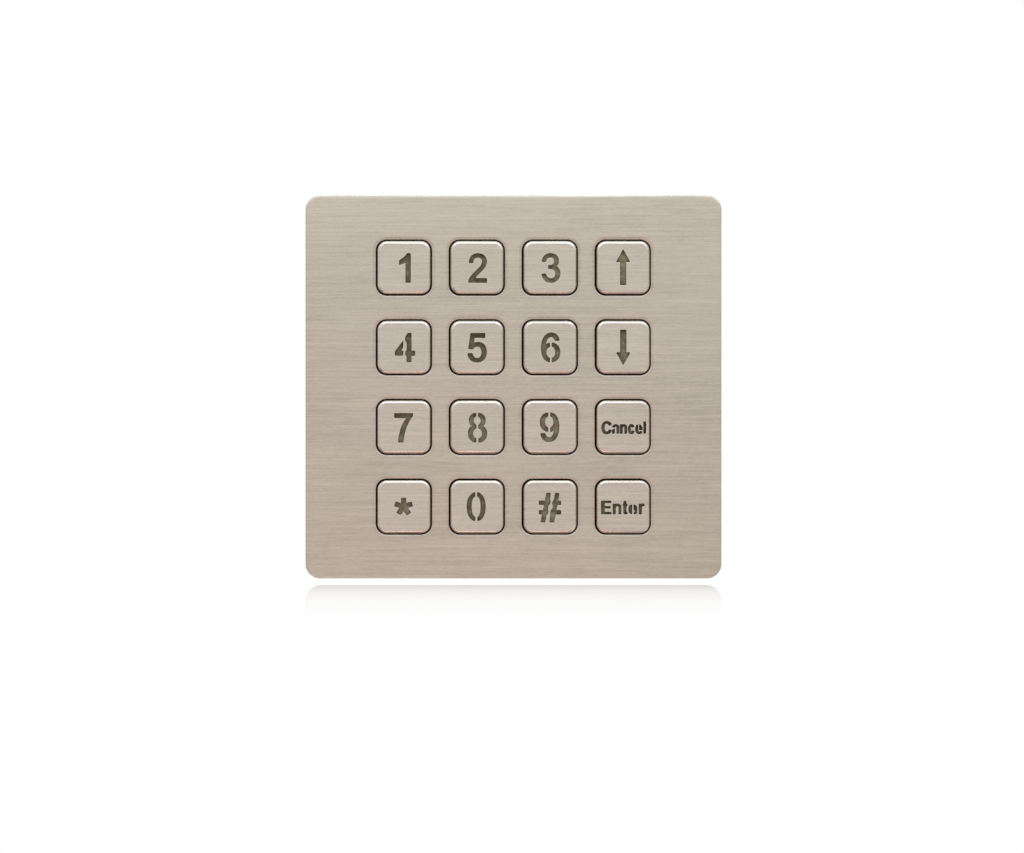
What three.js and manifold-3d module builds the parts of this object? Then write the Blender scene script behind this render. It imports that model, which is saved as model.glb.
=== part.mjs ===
// Stainless 4 x 4 keypad access reader for flush mounting in a panel, millimetres, +Z up.
// The front faces -Y. The origin is the centre of the front plate's rear face, where the reader meets the panel.
// Depths below are written as d, measured backwards from that face: d = -2.5 is the plate's front, d = +16 the back of the housing.
import * as THREE from 'three';
import { mergeVertices } from 'three/addons/utils/BufferGeometryUtils.js';
import Module from 'manifold-3d';

const wasm = await Module();
wasm.setup();

// ---- driving dimensions ----
const PLATE_W = 114, PLATE_H = 105, PLATE_T = 2.5, PLATE_R = 4, PLATE_EDGE = 1.1, PLATE_EDGE_D = 0.12;
const PITCH_X = 20, PITCH_Z = 21.84; // key spacing
const HOLE = 15.15, HOLE_R = 2.9, HOLE_SHIFT = -0.06; // key openings in the plate
const CAP = 14.5, CAP_R = 2.6, CAP_PROUD = 1.2, CAP_WALL = 1, CAP_TOP = 1, CAP_EDGE = 0.8, CAP_EDGE_D = 0.75; // key caps
const CAP_SAG = 0.1; // the keys hang a little low in their openings
const FLANGE = 17.5, FLANGE_R = 3.2, FLANGE_T = 1; // the skirt that keeps a cap behind the plate
const GAP = 0.1; // between pieces that rest on each other
const GUIDE_TOP = 0.05; // light guide below the cap's top wall
const GUIDE = 12.1, GUIDE_R = 1.5; // light guide inside a cap
const PUSHER_R = 2.5; // boss under the light guide that presses the dome
const FRAME_W = 94, FRAME_H = 87.2, FRAME_D = 5.5, FRAME_HOLE = 18.1, FRAME_HOLE_R = 3.5;
const MAT_W = 80.4, MAT_H = 86, MAT_D = 5.6, MAT_T = 1; // silicone keymat sheet
const DOME_R = 5.2, DOME_TOP_R = 3.1, DOME_TOP_D = 2.7; // rubber dome under each key
const PILL_R = 1.6, PILL_D = 5.85; // contact face under the dome
const BOARD_W = 93.6, BOARD_H = 86.8, BOARD_D = 6.7, BOARD_T = 1.6;
const LED_X = 5.6, LED_Z = 5.6; // lamp beside each dome
const POST_X = 43.4, POST_Z = 33; // pillars that hold board and cover
const COVER_W = 97, COVER_H = 90, COVER_R = 3.6, COVER_WALL = 1.2, COVER_D = 16;
const STUD_X = 52.8, STUD_Z = 48.8, STUD_R = 2, STUD_D = 20;
const SEAL_W = 112.4, SEAL_H = 103.4, SEAL_IN_W = 99, SEAL_IN_H = 92, SEAL_T = 1.5;
const HEADER_W = 20.3, HEADER_H = 8.8, HEADER_L = 9.1, HEADER_Z = -26; // ribbon header on the board's back
const WINDOW_W = 24, WINDOW_H = 12.4; // opening for it in the cover

// ---- materials ----
const mat = (color, roughness, metalness, more = {}) => new THREE.MeshStandardMaterial({ color, roughness, metalness, ...more });
const STEEL = mat(0xb9afa2, 0.38, 1);
const CAP_STEEL = mat(0xc0b6aa, 0.36, 1);
const CLEAR = mat(0x6e6556, 0.35, 0);
const SILICONE = mat(0xd9d6cc, 0.6, 0);
const BLACK = mat(0x17181a, 0.55, 0);
const BOARD = mat(0x14502e, 0.4, 0);
const SEAL = mat(0x1d1d1e, 0.85, 0);
const ZINC = mat(0xb4b6b8, 0.35, 1);
const BRASS = mat(0xb89b5a, 0.35, 1);

// ---- tools ----
// Everything is drawn in (u right, v up, w towards the front) and turned once, exactly, into X = u, Y = -w, Z = v.
const TO_PART = new THREE.Matrix4().set(1, 0, 0, 0, 0, 0, -1, 0, 0, 1, 0, 0, 0, 0, 0, 1);

function solid(geometry) {
  const g = geometry.index ? geometry.clone() : geometry.clone();
  g.deleteAttribute('normal');
  g.deleteAttribute('uv');
  const merged = mergeVertices(g, 1e-4);
  return new wasm.Manifold(new wasm.Mesh({ numProp: 3, vertProperties: merged.attributes.position.array, triVerts: new Uint32Array(merged.index.array) }));
}
function geometryOf(s) {
  const m = s.getMesh();
  const n = m.numProp, v = new Float32Array(m.numVert * 3);
  for (let i = 0; i < m.numVert; i++) v.set(m.vertProperties.subarray(i * n, i * n + 3), i * 3);
  const g = new THREE.BufferGeometry();
  g.setAttribute('position', new THREE.BufferAttribute(v, 3));
  g.setIndex(new THREE.BufferAttribute(new Uint32Array(m.triVerts), 1));
  return g;
}
const near = (a, b) => Math.hypot(a[0] - b[0], a[1] - b[1]) < 1e-3;
function clean(points) {
  const kept = [];
  for (const p of points) if (!kept.length || !near(p, kept[kept.length - 1])) kept.push(p);
  while (kept.length > 2 && near(kept[0], kept[kept.length - 1])) kept.pop();
  return kept;
}
const vec = (points) => points.map(([x, y]) => new THREE.Vector2(x, y));
// A rectangle with round corners about (x, y), n facets to a corner.
function rrect(w, h, r, n = 4, x = 0, y = 0) {
  const out = [];
  for (let k = 0; k < 4; k++) {
    const cx = x + (k === 0 || k === 3 ? 1 : -1) * (w / 2 - r), cy = y + (k < 2 ? 1 : -1) * (h / 2 - r);
    for (let i = 0; i <= n; i++) {
      const a = (Math.PI / 2) * (k + i / n);
      out.push([cx + r * Math.cos(a), cy + r * Math.sin(a)]);
    }
  }
  return clean(out);
}
function circle(r, n, x = 0, y = 0, turn = 0) {
  return Array.from({ length: n }, (_, i) => [x + r * Math.cos(turn + (2 * Math.PI * i) / n), y + r * Math.sin(turn + (2 * Math.PI * i) / n)]);
}
function shapeOf(outer, holes = []) {
  const s = new THREE.Shape(vec(outer));
  for (const h of holes) s.holes.push(new THREE.Path(vec([...h].reverse())));
  return s;
}
// A slab of that outline from depth d0 back to depth d1. bevel rounds both its rims inside the outline, bevel across by deep along the depth.
function slab(outer, d0, d1, { holes = [], bevel = 0, deep = bevel, steps = 2 } = {}) {
  const g = new THREE.ExtrudeGeometry(shapeOf(outer, holes), {
    depth: d1 - d0 - 2 * deep, steps: 1, curveSegments: 1,
    bevelEnabled: bevel > 0, bevelThickness: deep, bevelSize: bevel, bevelOffset: -bevel, bevelSegments: steps,
  });
  g.translate(0, 0, -d1 + deep);
  return solid(g);
}
// A body of revolution about the depth axis through (x, v): profile is [radius, depth] from the axis round to the axis.
function turned(profile, n = 12, x = 0, v = 0, turn = 0) {
  const g = new THREE.LatheGeometry(profile.map(([r, d]) => new THREE.Vector2(r, -d)), n);
  g.rotateY(turn).rotateX(Math.PI / 2).translate(x, v, 0);
  let s = solid(g);
  if (s.volume() < 0) {
    const back = new THREE.LatheGeometry([...profile].reverse().map(([r, d]) => new THREE.Vector2(r, -d)), n);
    back.rotateY(turn).rotateX(Math.PI / 2).translate(x, v, 0);
    s = solid(back);
  }
  return s;
}
const join = (first, ...rest) => rest.reduce((a, b) => a.add(b), first);
const cut = (first, ...rest) => rest.reduce((a, b) => a.subtract(b), first);

const reader = new THREE.Group();
reader.name = 'keypad_reader';
const groups = {};
function group(name) {
  if (!groups[name]) {
    groups[name] = new THREE.Group();
    groups[name].name = name;
    reader.add(groups[name]);
  }
  return groups[name];
}
function place(name, s, material, where = 'body', x = 0, v = 0) {
  const g = geometryOf(s).applyMatrix4(TO_PART);
  g.computeVertexNormals();
  const m = new THREE.Mesh(g, material);
  m.name = name;
  m.position.set(x, 0, v);
  group(where).add(m);
  return m;
}

// ---- legends ----
// Each legend is a list of closed stencil outlines in millimetres about the key's centre.
// [x, y, c] is a corner whose point is cut back by c along both sides, and [x1, y1, x2, y2] before a corner makes the side that leads to it a Bezier curve.
const LEGENDS = {
  "1": [[[0.45, -4.25, 0.25], [1.88, -4.25, 0.25], [1.88, 3.9, 0.5], [0.85, 3.9, 0.35], [0.45, 3.0, -0.3, 2.5], [-1.3, 2.0, 0.3], [-1.3, 0.62, 0.35], [-0.6, 0.75, 0.0, 1.0], [0.45, 1.3, 0.1]]],
  "2": [[[-2.2, 1.15, 0.25], [-2.2, 2.9, -1.2, 3.85], [0.3, 3.85, 0], [1.8, 3.85, 2.72, 2.8], [2.72, 1.5, 0], [2.72, 0.2, 1.6, -0.8], [0.55, -1.85, 0], [0.1, -2.3, -0.25, -2.65], [-0.4, -2.95, 0.1], [2.72, -2.95, 0.25], [2.72, -4.25, 0.25], [-2.4, -4.25, 0.25], [-2.35, -3.8, 0], [-2.2, -2.7, -1.3, -1.9], [-0.35, -0.95, 0], [0.6, 0.0, 1.38, 0.6], [1.38, 1.5, 0], [1.38, 2.2, 0.95, 2.65], [0.3, 2.65, 0], [-0.5, 2.65, -1.0, 2.1], [-1.05, 1.15, 0.25]]],
  "3": [[[-2.25, 1.45, 0.25], [-2.2, 2.9, -1.3, 3.88], [0.1, 3.88, 0], [1.5, 3.88, 2.42, 3.0], [2.42, 1.85, 0], [2.42, 1.15, 2.2, 0.7], [1.8, 0.28, 0.15], [2.45, -0.15, 2.82, -0.8], [2.82, -1.65, 0], [2.82, -3.1, 1.8, -4.27], [0.25, -4.27, 0], [-1.25, -4.27, -2.15, -3.3], [-2.3, -1.75, 0.25], [-1.15, -1.65, 0.25], [-1.0, -2.5, -0.5, -3.02], [0.25, -3.02, 0], [1.0, -3.02, 1.42, -2.5], [1.42, -1.75, 0], [1.42, -0.95, 0.9, -0.5], [0.0, -0.48, 0], [-0.52, -0.48, 0.2], [-0.52, 0.6, 0.2], [0.0, 0.6, 0], [0.75, 0.62, 1.1, 1.1], [1.1, 1.75, 0], [1.1, 2.35, 0.7, 2.68], [0.15, 2.68, 0], [-0.5, 2.68, -0.95, 2.3], [-1.1, 1.45, 0.25]]],
  "up": [[[0, 4.98, 0.25], [-1.98, 1.38, 0.35], [-0.83, 1.38, 0.12], [-0.83, -4.92, 0.3], [0.83, -4.92, 0.3], [0.83, 1.38, 0.12], [1.98, 1.38, 0.35]]],
  "4": [[[-0.18, 1.85, 0.3], [-2.45, -1.15, 0.25], [-2.45, -2.35, 0.3], [-0.18, -2.35, 0.25], [-0.18, -1.05, 0.2], [-0.68, -0.82, 0.12], [-0.18, 0.0, 0.2]], [[2.08, 3.92, 0.3], [1.1, 3.92, 0.35], [0.36, 2.85, 0.35], [0.33, 1.85, 0.25], [0.78, 1.2, 0.15], [0.78, -0.8, 0.15], [0.4, -1.2, 0.2], [0.4, -2.1, 0.2], [0.75, -2.6, 0.15], [0.75, -4.15, 0.25], [2.08, -4.15, 0.25], [2.08, -2.4, 0.1], [3.08, -2.4, 0.4], [3.08, -0.95, 0.4], [2.08, -0.95, 0.1]]],
  "5": [[[-1.75, 3.88, 0.25], [-2.42, -0.62, 0.3], [-1.05, -0.62, 0.25], [-0.85, -0.2, -0.45, 0.08], [0.05, 0.08, 0], [0.8, 0.08, 1.25, -0.5], [1.25, -1.4, 0], [1.25, -2.3, 0.8, -3.0], [0.08, -3.0, 0], [-0.6, -3.0, -1.0, -2.5], [-1.25, -1.58, 0.3], [-2.62, -1.7, 0.3], [-2.5, -3.3, -1.4, -4.22], [0.1, -4.22, 0], [1.7, -4.22, 2.7, -3.0], [2.7, -1.25, 0], [2.7, 0.2, 1.8, 1.42], [0.35, 1.42, 0], [0.0, 1.42, -0.4, 1.4], [-0.85, 1.2, 0.1], [-0.62, 2.5, 0.15], [2.28, 2.5, 0.3], [2.28, 3.88, 0.25]]],
  "6": [[[2.62, 1.7, 0.3], [2.45, 3.1, 1.7, 4.0], [0.4, 4.0, 0], [-1.4, 4.0, -2.45, 2.3], [-2.45, -0.2, 0], [-2.45, -2.6, -1.6, -3.9], [-0.35, -4.12, 0], [-0.02, -4.15, 0.15], [-0.02, -3.0, 0.15], [-0.65, -2.75, -1.0, -2.1], [-1.0, -1.4, 0], [-1.0, -0.75, -0.6, -0.15], [-0.02, 0.0, 0.15], [-0.02, 1.2, 0.25], [-0.4, 1.2, -0.75, 1.05], [-1.08, 0.8, 0.1], [-1.02, 1.9, -0.5, 2.72], [0.35, 2.72, 0], [0.85, 2.72, 1.15, 2.4], [1.3, 1.7, 0.3]], [[0.5, 1.28, 0.3], [0.5, 0.02, 0.2], [1.1, -0.15, 1.42, -0.7], [1.42, -1.45, 0], [1.42, -2.2, 1.1, -2.75], [0.5, -2.95, 0.2], [0.5, -4.15, 0.3], [1.9, -4.1, 2.8, -2.9], [2.8, -1.4, 0], [2.8, 0.1, 1.9, 1.1]]],
  "down": [[[0.03, -4.98, 0.25], [2.01, -1.4, 0.35], [0.88, -1.4, 0.12], [0.88, 4.8, 0.3], [-0.82, 4.8, 0.3], [-0.82, -1.4, 0.12], [-1.95, -1.4, 0.35]]],
  "7": [[[-2.62, 3.8, 0.3], [-2.62, 2.42, 0.3], [0.72, 2.42, 0.1], [-0.7, 0.8, -1.35, -1.5], [-1.62, -4.25, 0.3], [-0.1, -4.25, 0.3], [0.1, -1.0, 1.3, 1.6], [2.5, 2.95, 0.15], [2.5, 3.8, 0.25]]],
  "8": [[[-0.2, 3.88, 0.3], [-1.4, 3.88, -2.22, 3.0], [-2.22, 1.85, 0], [-2.22, 1.15, -2.0, 0.65], [-1.58, 0.22, 0.12], [-2.1, -0.15, -2.48, -0.85], [-2.48, -1.75, 0], [-2.48, -3.2, -1.5, -4.3], [-0.18, -4.3, 0.3], [-0.18, -3.1, 0.2], [-0.8, -2.95, -1.05, -2.4], [-1.05, -1.8, 0], [-1.05, -1.1, -0.7, -0.7], [-0.18, -0.42, 0.25], [-0.18, 0.62, 0.25], [-0.65, 0.85, -0.92, 1.25], [-0.92, 1.75, 0], [-0.92, 2.25, -0.65, 2.6], [-0.2, 2.85, 0.2]], [[0.3, 3.88, 0.3], [0.3, 2.85, 0.2], [0.75, 2.6, 1.05, 2.25], [1.05, 1.75, 0], [1.05, 1.25, 0.8, 0.85], [0.36, 0.62, 0.25], [0.36, -0.42, 0.25], [1.05, -0.7, 1.4, -1.15], [1.4, -1.8, 0], [1.4, -2.45, 1.05, -3.0], [0.42, -3.12, 0.2], [0.42, -4.35, 0.3], [1.8, -4.35, 2.78, -3.2], [2.78, -1.75, 0], [2.78, -0.85, 2.35, -0.15], [1.72, 0.2, 0.12], [2.15, 0.65, 2.38, 1.15], [2.38, 1.8, 0], [2.38, 3.0, 1.5, 3.88]]],
  "9": [[[-0.5, 3.98, 0.3], [-1.9, 3.9, -2.78, 2.8], [-2.78, 1.3, 0], [-2.78, -0.1, -1.9, -1.35], [-0.5, -1.4, 0.3], [-0.5, -0.15, 0.2], [-1.1, 0.1, -1.35, 0.6], [-1.35, 1.3, 0], [-1.35, 2.0, -1.1, 2.6], [-0.5, 2.85, 0.2]], [[0.05, 4.0, 0.3], [0.05, 2.85, 0.2], [0.65, 2.6, 0.95, 2.0], [0.95, 1.3, 0], [0.95, 0.6, 0.6, 0.1], [0.05, -0.12, 0.2], [0.05, -1.4, 0.25], [0.4, -1.35, 0.75, -1.15], [1.0, -0.98, 0.1], [0.95, -2.0, 0.55, -2.82], [-0.2, -2.82, 0], [-0.8, -2.82, -1.1, -2.5], [-1.35, -1.65, 0.3], [-2.68, -1.75, 0.3], [-2.5, -3.1, -1.7, -4.15], [-0.3, -4.15, 0], [1.6, -4.15, 2.52, -2.3], [2.52, 0.2, 0], [2.52, 2.3, 1.7, 3.9]]],
  "cancel": [[[-3.075, 0.707, 0.2], [-3.42, 1.385, -3.977, 1.63], [-4.5, 1.63, 0], [-5.354, 1.63, -5.96, 0.837], [-5.96, -0.2, 0], [-5.96, -1.288, -5.353, -2.06], [-4.5, -2.06, 0], [-3.974, -2.06, -3.413, -1.78], [-3.078, -0.941, 0.2], [-3.862, -0.603, 0.15], [-4.045, -1.089, -4.196, -1.24], [-4.45, -1.24, 0], [-4.882, -1.24, -5.09, -0.824], [-5.09, -0.2, 0], [-5.09, 0.471, -4.885, 0.84], [-4.45, 0.84, 0], [-4.196, 0.84, -4.045, 0.689], [-3.878, 0.239, 0.15]], [[-3.062, -0.084, 0.15], [-2.402, -0.255, 0.12], [-2.28, -0.012, -2.173, 0.06], [-2.02, 0.06, 0], [-1.867, 0.06, -1.84, 0.022], [-1.84, -0.15, 0], [-1.84, -1.87, 0.2], [-1.03, -1.87, 0.2], [-1.03, -0.2, 0], [-1.03, 0.44, -1.415, 0.79], [-2.0, 0.79, 0], [-2.421, 0.79, -2.876, 0.563]], [[-3.07, -0.797, 0.25], [-3.07, -1.87, 0.3], [-2.26, -1.87, 0.2], [-2.26, -0.347, 0.15]], [[-0.88, 0.717, 0.15], [-0.88, -1.86, 0.2], [-0.1, -1.86, 0.2], [-0.1, -0.25, 0], [-0.1, -0.039, -0.023, 0.02], [0.15, 0.02, 0], [0.301, 0.02, 0.34, 0.001], [0.34, -0.15, 0], [0.34, -1.86, 0.2], [1.1, -1.86, 0.2], [1.1, -0.1, 0], [1.1, 0.374, 0.843, 0.76], [0.299, 0.76, 0]], [[3.104, 0.042, 0.15], [2.936, 0.559, 2.635, 0.8], [2.2, 0.8, 0], [1.645, 0.8, 1.28, 0.229], [1.28, -0.6, 0], [1.28, -1.429, 1.645, -2.0], [2.25, -2.0, 0], [2.691, -2.0, 2.987, -1.704], [3.176, -1.139, 0.15], [2.436, -0.87, 0.12], [2.332, -1.196, 2.309, -1.22], [2.22, -1.22, 0], [2.127, -1.22, 2.08, -1.037], [2.08, -0.6, 0], [2.08, -0.163, 2.127, 0.02], [2.22, 0.02, 0], [2.309, 0.02, 2.335, -0.006], [2.424, -0.23, 0.12]], [[4.11, 0.751, 0.15], [3.538, 0.629, 3.29, 0.121], [3.29, -0.6, 0], [3.29, -1.429, 3.704, -2.01], [4.35, -2.01, 0], [4.824, -2.01, 5.179, -1.809], [5.306, -1.236, 0.2], [4.592, -1.041, 0.12], [4.523, -1.246, 4.468, -1.29], [4.35, -1.29, 0], [4.173, -1.29, 4.11, -0.991], [4.11, -0.6, 0]], [[4.36, 0.748, 0.15], [4.36, -0.91, 0.15], [5.31, -0.91, 0.15], [5.31, 0.125, 5.006, 0.631]], [[5.54, 1.48, 0.2], [5.54, -1.84, 0.2], [6.21, -1.84, 0.2], [6.21, 1.48, 0.2]]],
  "star": [],
  "0": [[[-0.48, 4.05, 0.3], [-2.0, 3.7, -2.8, 2.1], [-2.8, 0.05, 0], [-2.8, -2.0, -2.0, -3.7], [-0.45, -4.0, 0.3], [-0.45, -2.8, 0.2], [-1.15, -2.5, -1.45, -1.4], [-1.45, 0.05, 0], [-1.45, 1.5, -1.15, 2.55], [-0.48, 2.85, 0.2]], [[0.05, 4.05, 0.3], [0.05, 2.85, 0.2], [0.7, 2.55, 1.0, 1.5], [1.0, 0.05, 0], [1.0, -1.4, 0.75, -2.5], [0.12, -2.8, 0.2], [0.12, -4.0, 0.3], [1.65, -3.7, 2.38, -2.0], [2.38, 0.05, 0], [2.38, 2.1, 1.6, 3.7]]],
  "hash": [[[-1.05, 3.85, 0.4], [-1.4, 1.7, 0.1], [-3.08, 1.7, 0.4], [-3.08, 0.45, 0.4], [-1.65, 0.45, 0.1], [-1.95, -0.9, 0.1], [-3.08, -0.9, 0.4], [-3.08, -2.12, 0.4], [-2.2, -2.12, 0.1], [-2.6, -4.3, 0.3], [-1.35, -4.3, 0.3], [-0.95, -2.3, 0.15], [-0.5, -1.8, 0.2], [-0.42, -1.2, 0.15], [-0.6, -0.8, 0.15], [-0.45, 0.2, 0.15], [0.08, 0.85, 0.2], [0.15, 1.55, 0.2], [0.0, 2.0, 0.1], [0.18, 3.85, 0.4]], [[1.35, 3.82, 0.4], [1.1, 2.0, 0.1], [0.68, 1.45, 0.2], [0.58, 0.9, 0.2], [0.75, 0.4, 0.15], [0.72, -0.3, 0.1], [0.25, -0.9, 0.15], [0.02, -1.5, 0.2], [0.1, -2.1, 0.15], [-0.15, -4.3, 0.3], [1.1, -4.3, 0.3], [1.5, -2.12, 0.1], [3.05, -2.12, 0.4], [3.05, -0.88, 0.4], [1.75, -0.88, 0.1], [2.0, 0.45, 0.1], [3.05, 0.45, 0.4], [3.05, 1.72, 0.4], [2.25, 1.72, 0.1], [2.58, 3.82, 0.4]]],
  "enter": [[[-6.02, 1.68, 0.25], [-6.02, -2.08, 0.25], [-3.22, -2.08, 0.25], [-3.22, -1.38, 0.25], [-5.05, -1.38, 0.1], [-5.05, -0.48, 0.1], [-3.4, -0.48, 0.25], [-3.4, 0.2, 0.25], [-5.05, 0.2, 0.1], [-5.05, 1.02, 0.1], [-3.28, 1.02, 0.25], [-3.28, 1.68, 0.25]], [[-2.85, 0.85, 0.25], [-2.85, -2.08, 0.25], [-2.02, -2.08, 0.25], [-2.02, -0.35, 0], [-2.02, -0.05, -1.9, 0.05], [-1.6, 0.05, 0], [-1.35, 0.05, -1.25, -0.05], [-1.25, -0.3, 0], [-1.25, -2.08, 0.25], [-0.48, -2.08, 0.25], [-0.48, -0.2, 0], [-0.48, 0.4, -0.75, 0.85], [-1.4, 0.85, 0]], [[0.15, 1.62, 0.3], [0.05, 0.9, 0.1], [-0.18, 0.45, 0.2], [0.05, 0.1, 0.1], [0.05, -1.4, 0], [0.05, -1.8, 0.15, -2.1], [0.45, -2.1, 0], [1.15, -2.1, 0.25], [1.22, -1.5, 0.2], [0.88, -1.3, 0.1], [0.88, 0.0, 0.1], [1.1, 0.15, 0.15], [1.22, 0.6, 0.2], [0.9, 0.95, 0.1], [0.85, 1.62, 0.3]], [[2.45, 0.68, 0.25], [1.8, 0.6, 1.45, 0.1], [1.45, -0.65, 0], [1.45, -1.5, 1.8, -2.05], [2.45, -2.1, 0.25]], [[2.88, 0.68, 0.25], [2.88, -0.85, 0.2], [3.28, -1.2, 0.15], [2.88, -1.55, 0.2], [2.88, -2.1, 0.25], [3.4, -2.1, 3.78, -1.95], [3.9, -1.5, 0.1], [3.78, -1.2, 0.15], [3.9, -0.75, 0.1], [3.9, 0.1, 3.5, 0.6]], [[4.28, 0.88, 0.25], [4.28, -2.08, 0.25], [5.1, -2.08, 0.25], [5.1, -0.3, 0], [5.1, -0.1, 5.15, 0.0], [5.35, 0.08, 0], [5.75, 0.15, 0.2], [5.88, 0.55, 0.15], [5.8, 0.88, 0.2]]],
};
{ // the star's five arms
  const arm = 0.72, tip = 2.5, inner = arm / Math.sin(Math.PI / 5), star = [];
  for (let k = 0; k < 5; k++) {
    const a = Math.PI / 2 + (2 * Math.PI * k) / 5, c = Math.cos(a), s = Math.sin(a);
    star.push([-0.07 + inner * Math.cos(a - Math.PI / 5), 0.02 + inner * Math.sin(a - Math.PI / 5), 0.12]);
    star.push([-0.07 + tip * c + arm * s, 0.02 + tip * s - arm * c, 0.3], [-0.07 + tip * c - arm * s, 0.02 + tip * s + arm * c, 0.3]);
  }
  LEGENDS.star = [star];
}
const lerp = (a, b, t) => [a[0] + (b[0] - a[0]) * t, a[1] + (b[1] - a[1]) * t];
// One outline's points: n facets to a curved side, m to a corner.
function outline(spec, n, m) {
  const corners = [], sides = [];
  let bend = null;
  for (const s of [...spec, spec[0]]) {
    if (s.length === 4) { bend = s; continue; }
    if (corners.length) sides.push(bend);
    corners.push(s);
    bend = null;
  }
  if (spec[spec.length - 1].length === 4) sides[sides.length - 1] = spec[spec.length - 1];
  const count = corners.length - 1, lines = [];
  for (let i = 0; i < count; i++) {
    const a = corners[i], b = corners[i + 1], c = sides[i];
    const fine = 48, pts = [];
    for (let k = 0; k <= fine; k++) {
      const t = k / fine, u = 1 - t;
      pts.push(c ? [u * u * u * a[0] + 3 * u * u * t * c[0] + 3 * u * t * t * c[2] + t * t * t * b[0], u * u * u * a[1] + 3 * u * u * t * c[1] + 3 * u * t * t * c[3] + t * t * t * b[1]] : lerp(a, b, t));
    }
    const run = [0];
    for (let k = 1; k < pts.length; k++) run.push(run[k - 1] + Math.hypot(pts[k][0] - pts[k - 1][0], pts[k][1] - pts[k - 1][1]));
    const total = run[run.length - 1];
    const at = (s) => {
      let k = 1;
      while (k < run.length - 1 && run[k] < s) k++;
      return lerp(pts[k - 1], pts[k], Math.min(1, Math.max(0, (s - run[k - 1]) / Math.max(1e-9, run[k] - run[k - 1]))));
    };
    const from = Math.min(a[2], 0.48 * total), to = total - Math.min(b[2], 0.48 * total), parts = c ? n : 1, line = [];
    for (let k = 0; k <= parts; k++) line.push(at(from + ((to - from) * k) / parts));
    lines.push(line);
  }
  const out = [];
  for (let i = 0; i < count; i++) {
    const before = lines[(i + count - 1) % count], here = lines[i], p = before[before.length - 1], q = here[0], c = corners[i];
    if (c[2] > 0) for (let k = 1; k < m; k++) {
      const t = k / m, u = 1 - t;
      out.push([u * u * p[0] + 2 * u * t * c[0] + t * t * q[0], u * u * p[1] + 2 * u * t * c[1] + t * t * q[1]]);
    }
    out.push(...here);
  }
  return clean(out);
}

const KEYS = [["1", "2", "3", "up"], ["4", "5", "6", "down"], ["7", "8", "9", "cancel"], ["star", "0", "hash", "enter"]];
const keyX = (c) => (c - 1.5) * PITCH_X, keyZ = (r) => (1.5 - r) * PITCH_Z;
const everyKey = (f) => KEYS.flatMap((row, r) => row.map((name, c) => f(name, keyX(c), keyZ(r))));

// ---- front plate: openings for the keys, blind holes behind for the studs and pillars ----
const posts = [[-POST_X, POST_Z], [POST_X, POST_Z], [POST_X, -POST_Z], [-POST_X, -POST_Z]];
const studs = [[-STUD_X, STUD_Z], [STUD_X, STUD_Z], [STUD_X, -STUD_Z], [-STUD_X, -STUD_Z]];
{
  const sheet = slab(rrect(PLATE_W, PLATE_H, PLATE_R, 5), -PLATE_T, 3, { bevel: PLATE_EDGE, deep: PLATE_EDGE_D });
  let s = cut(sheet, slab(rrect(140, 140, 1, 1), 0, 5), ...everyKey((_, x, z) => slab(rrect(HOLE, HOLE, HOLE_R, 3, x + HOLE_SHIFT, z + HOLE_SHIFT), -5, 2)));
  for (const [x, z] of posts) s = s.subtract(slab(circle(1.7, 8, x, z), -1.6, 1));
  for (const [x, z] of studs) s = s.subtract(slab(circle(STUD_R + 0.1, 10, x, z), -1.6, 1));
  place('front_plate', s, STEEL);
}
studs.forEach(([x, z], k) => place('mounting_stud_' + (k + 1), turned([[0, -1.5], [STUD_R, -1.5], [STUD_R, STUD_D - 0.6], [STUD_R - 0.6, STUD_D], [0, STUD_D]], 10, 0, 0, Math.PI / 10), ZINC, 'body', x, z));
place('panel_seal', slab(rrect(SEAL_W, SEAL_H, PLATE_R - 0.8, 4), GAP, SEAL_T, { holes: [rrect(SEAL_IN_W, SEAL_IN_H, 4.4, 4), ...studs.map(([x, z]) => circle(STUD_R + 0.25, 10, x, z))] }), SEAL);

// ---- keys: a pressed steel cap with its legend cut through, and the light guide bonded inside ----
{
  const top = -PLATE_T - CAP_PROUD, back = GAP + FLANGE_T;
  const block = slab(rrect(CAP, CAP, CAP_R, 3), top, 3, { bevel: CAP_EDGE, deep: CAP_EDGE_D });
  const trim = slab(rrect(30, 30, 1, 1), back, 6);
  const skirt = slab(rrect(FLANGE, FLANGE, FLANGE_R, 3), GAP, back);
  const inside = CAP - 2 * CAP_WALL;
  const hollow = slab(rrect(inside, inside, CAP_R - CAP_WALL, 2), top + CAP_TOP, 4);
  const blank = cut(join(cut(block, trim), skirt), hollow);
  const guide = join(
    slab(rrect(GUIDE, GUIDE, GUIDE_R, 1), top + CAP_TOP + GUIDE_TOP, back + GAP + 0.3),
    slab(rrect(15.5, 15.5, 2.2, 1), back + GAP, back + GAP + 0.8),
    slab(circle(PUSHER_R, 8), back + GAP + 0.5, DOME_TOP_D - GAP),
  );
  everyKey((name, x, z) => {
    const small = name === 'cancel' || name === 'enter';
    let s = blank;
    for (const o of LEGENDS[name]) s = s.subtract(slab(outline(o, small ? 2 : 3, 1), top - 1, top + CAP_TOP + 0.2));
    place('key_cap_' + name, s, CAP_STEEL, 'key_' + name, x, z - CAP_SAG);
    place('light_guide_' + name, guide, CLEAR, 'key_' + name, x, z - CAP_SAG);
  });
}

// ---- guide frame: one cell round each key's skirt ----
{
  const holes = everyKey((_, x, z) => rrect(FRAME_HOLE, FRAME_HOLE, FRAME_HOLE_R, 3, x, z));
  for (const [x, z] of posts) holes.push(circle(3.1, 8, x, z));
  place('guide_frame', slab(rrect(FRAME_W, FRAME_H, 2.2, 2), GAP, FRAME_D, { holes }), BLACK);
}
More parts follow.
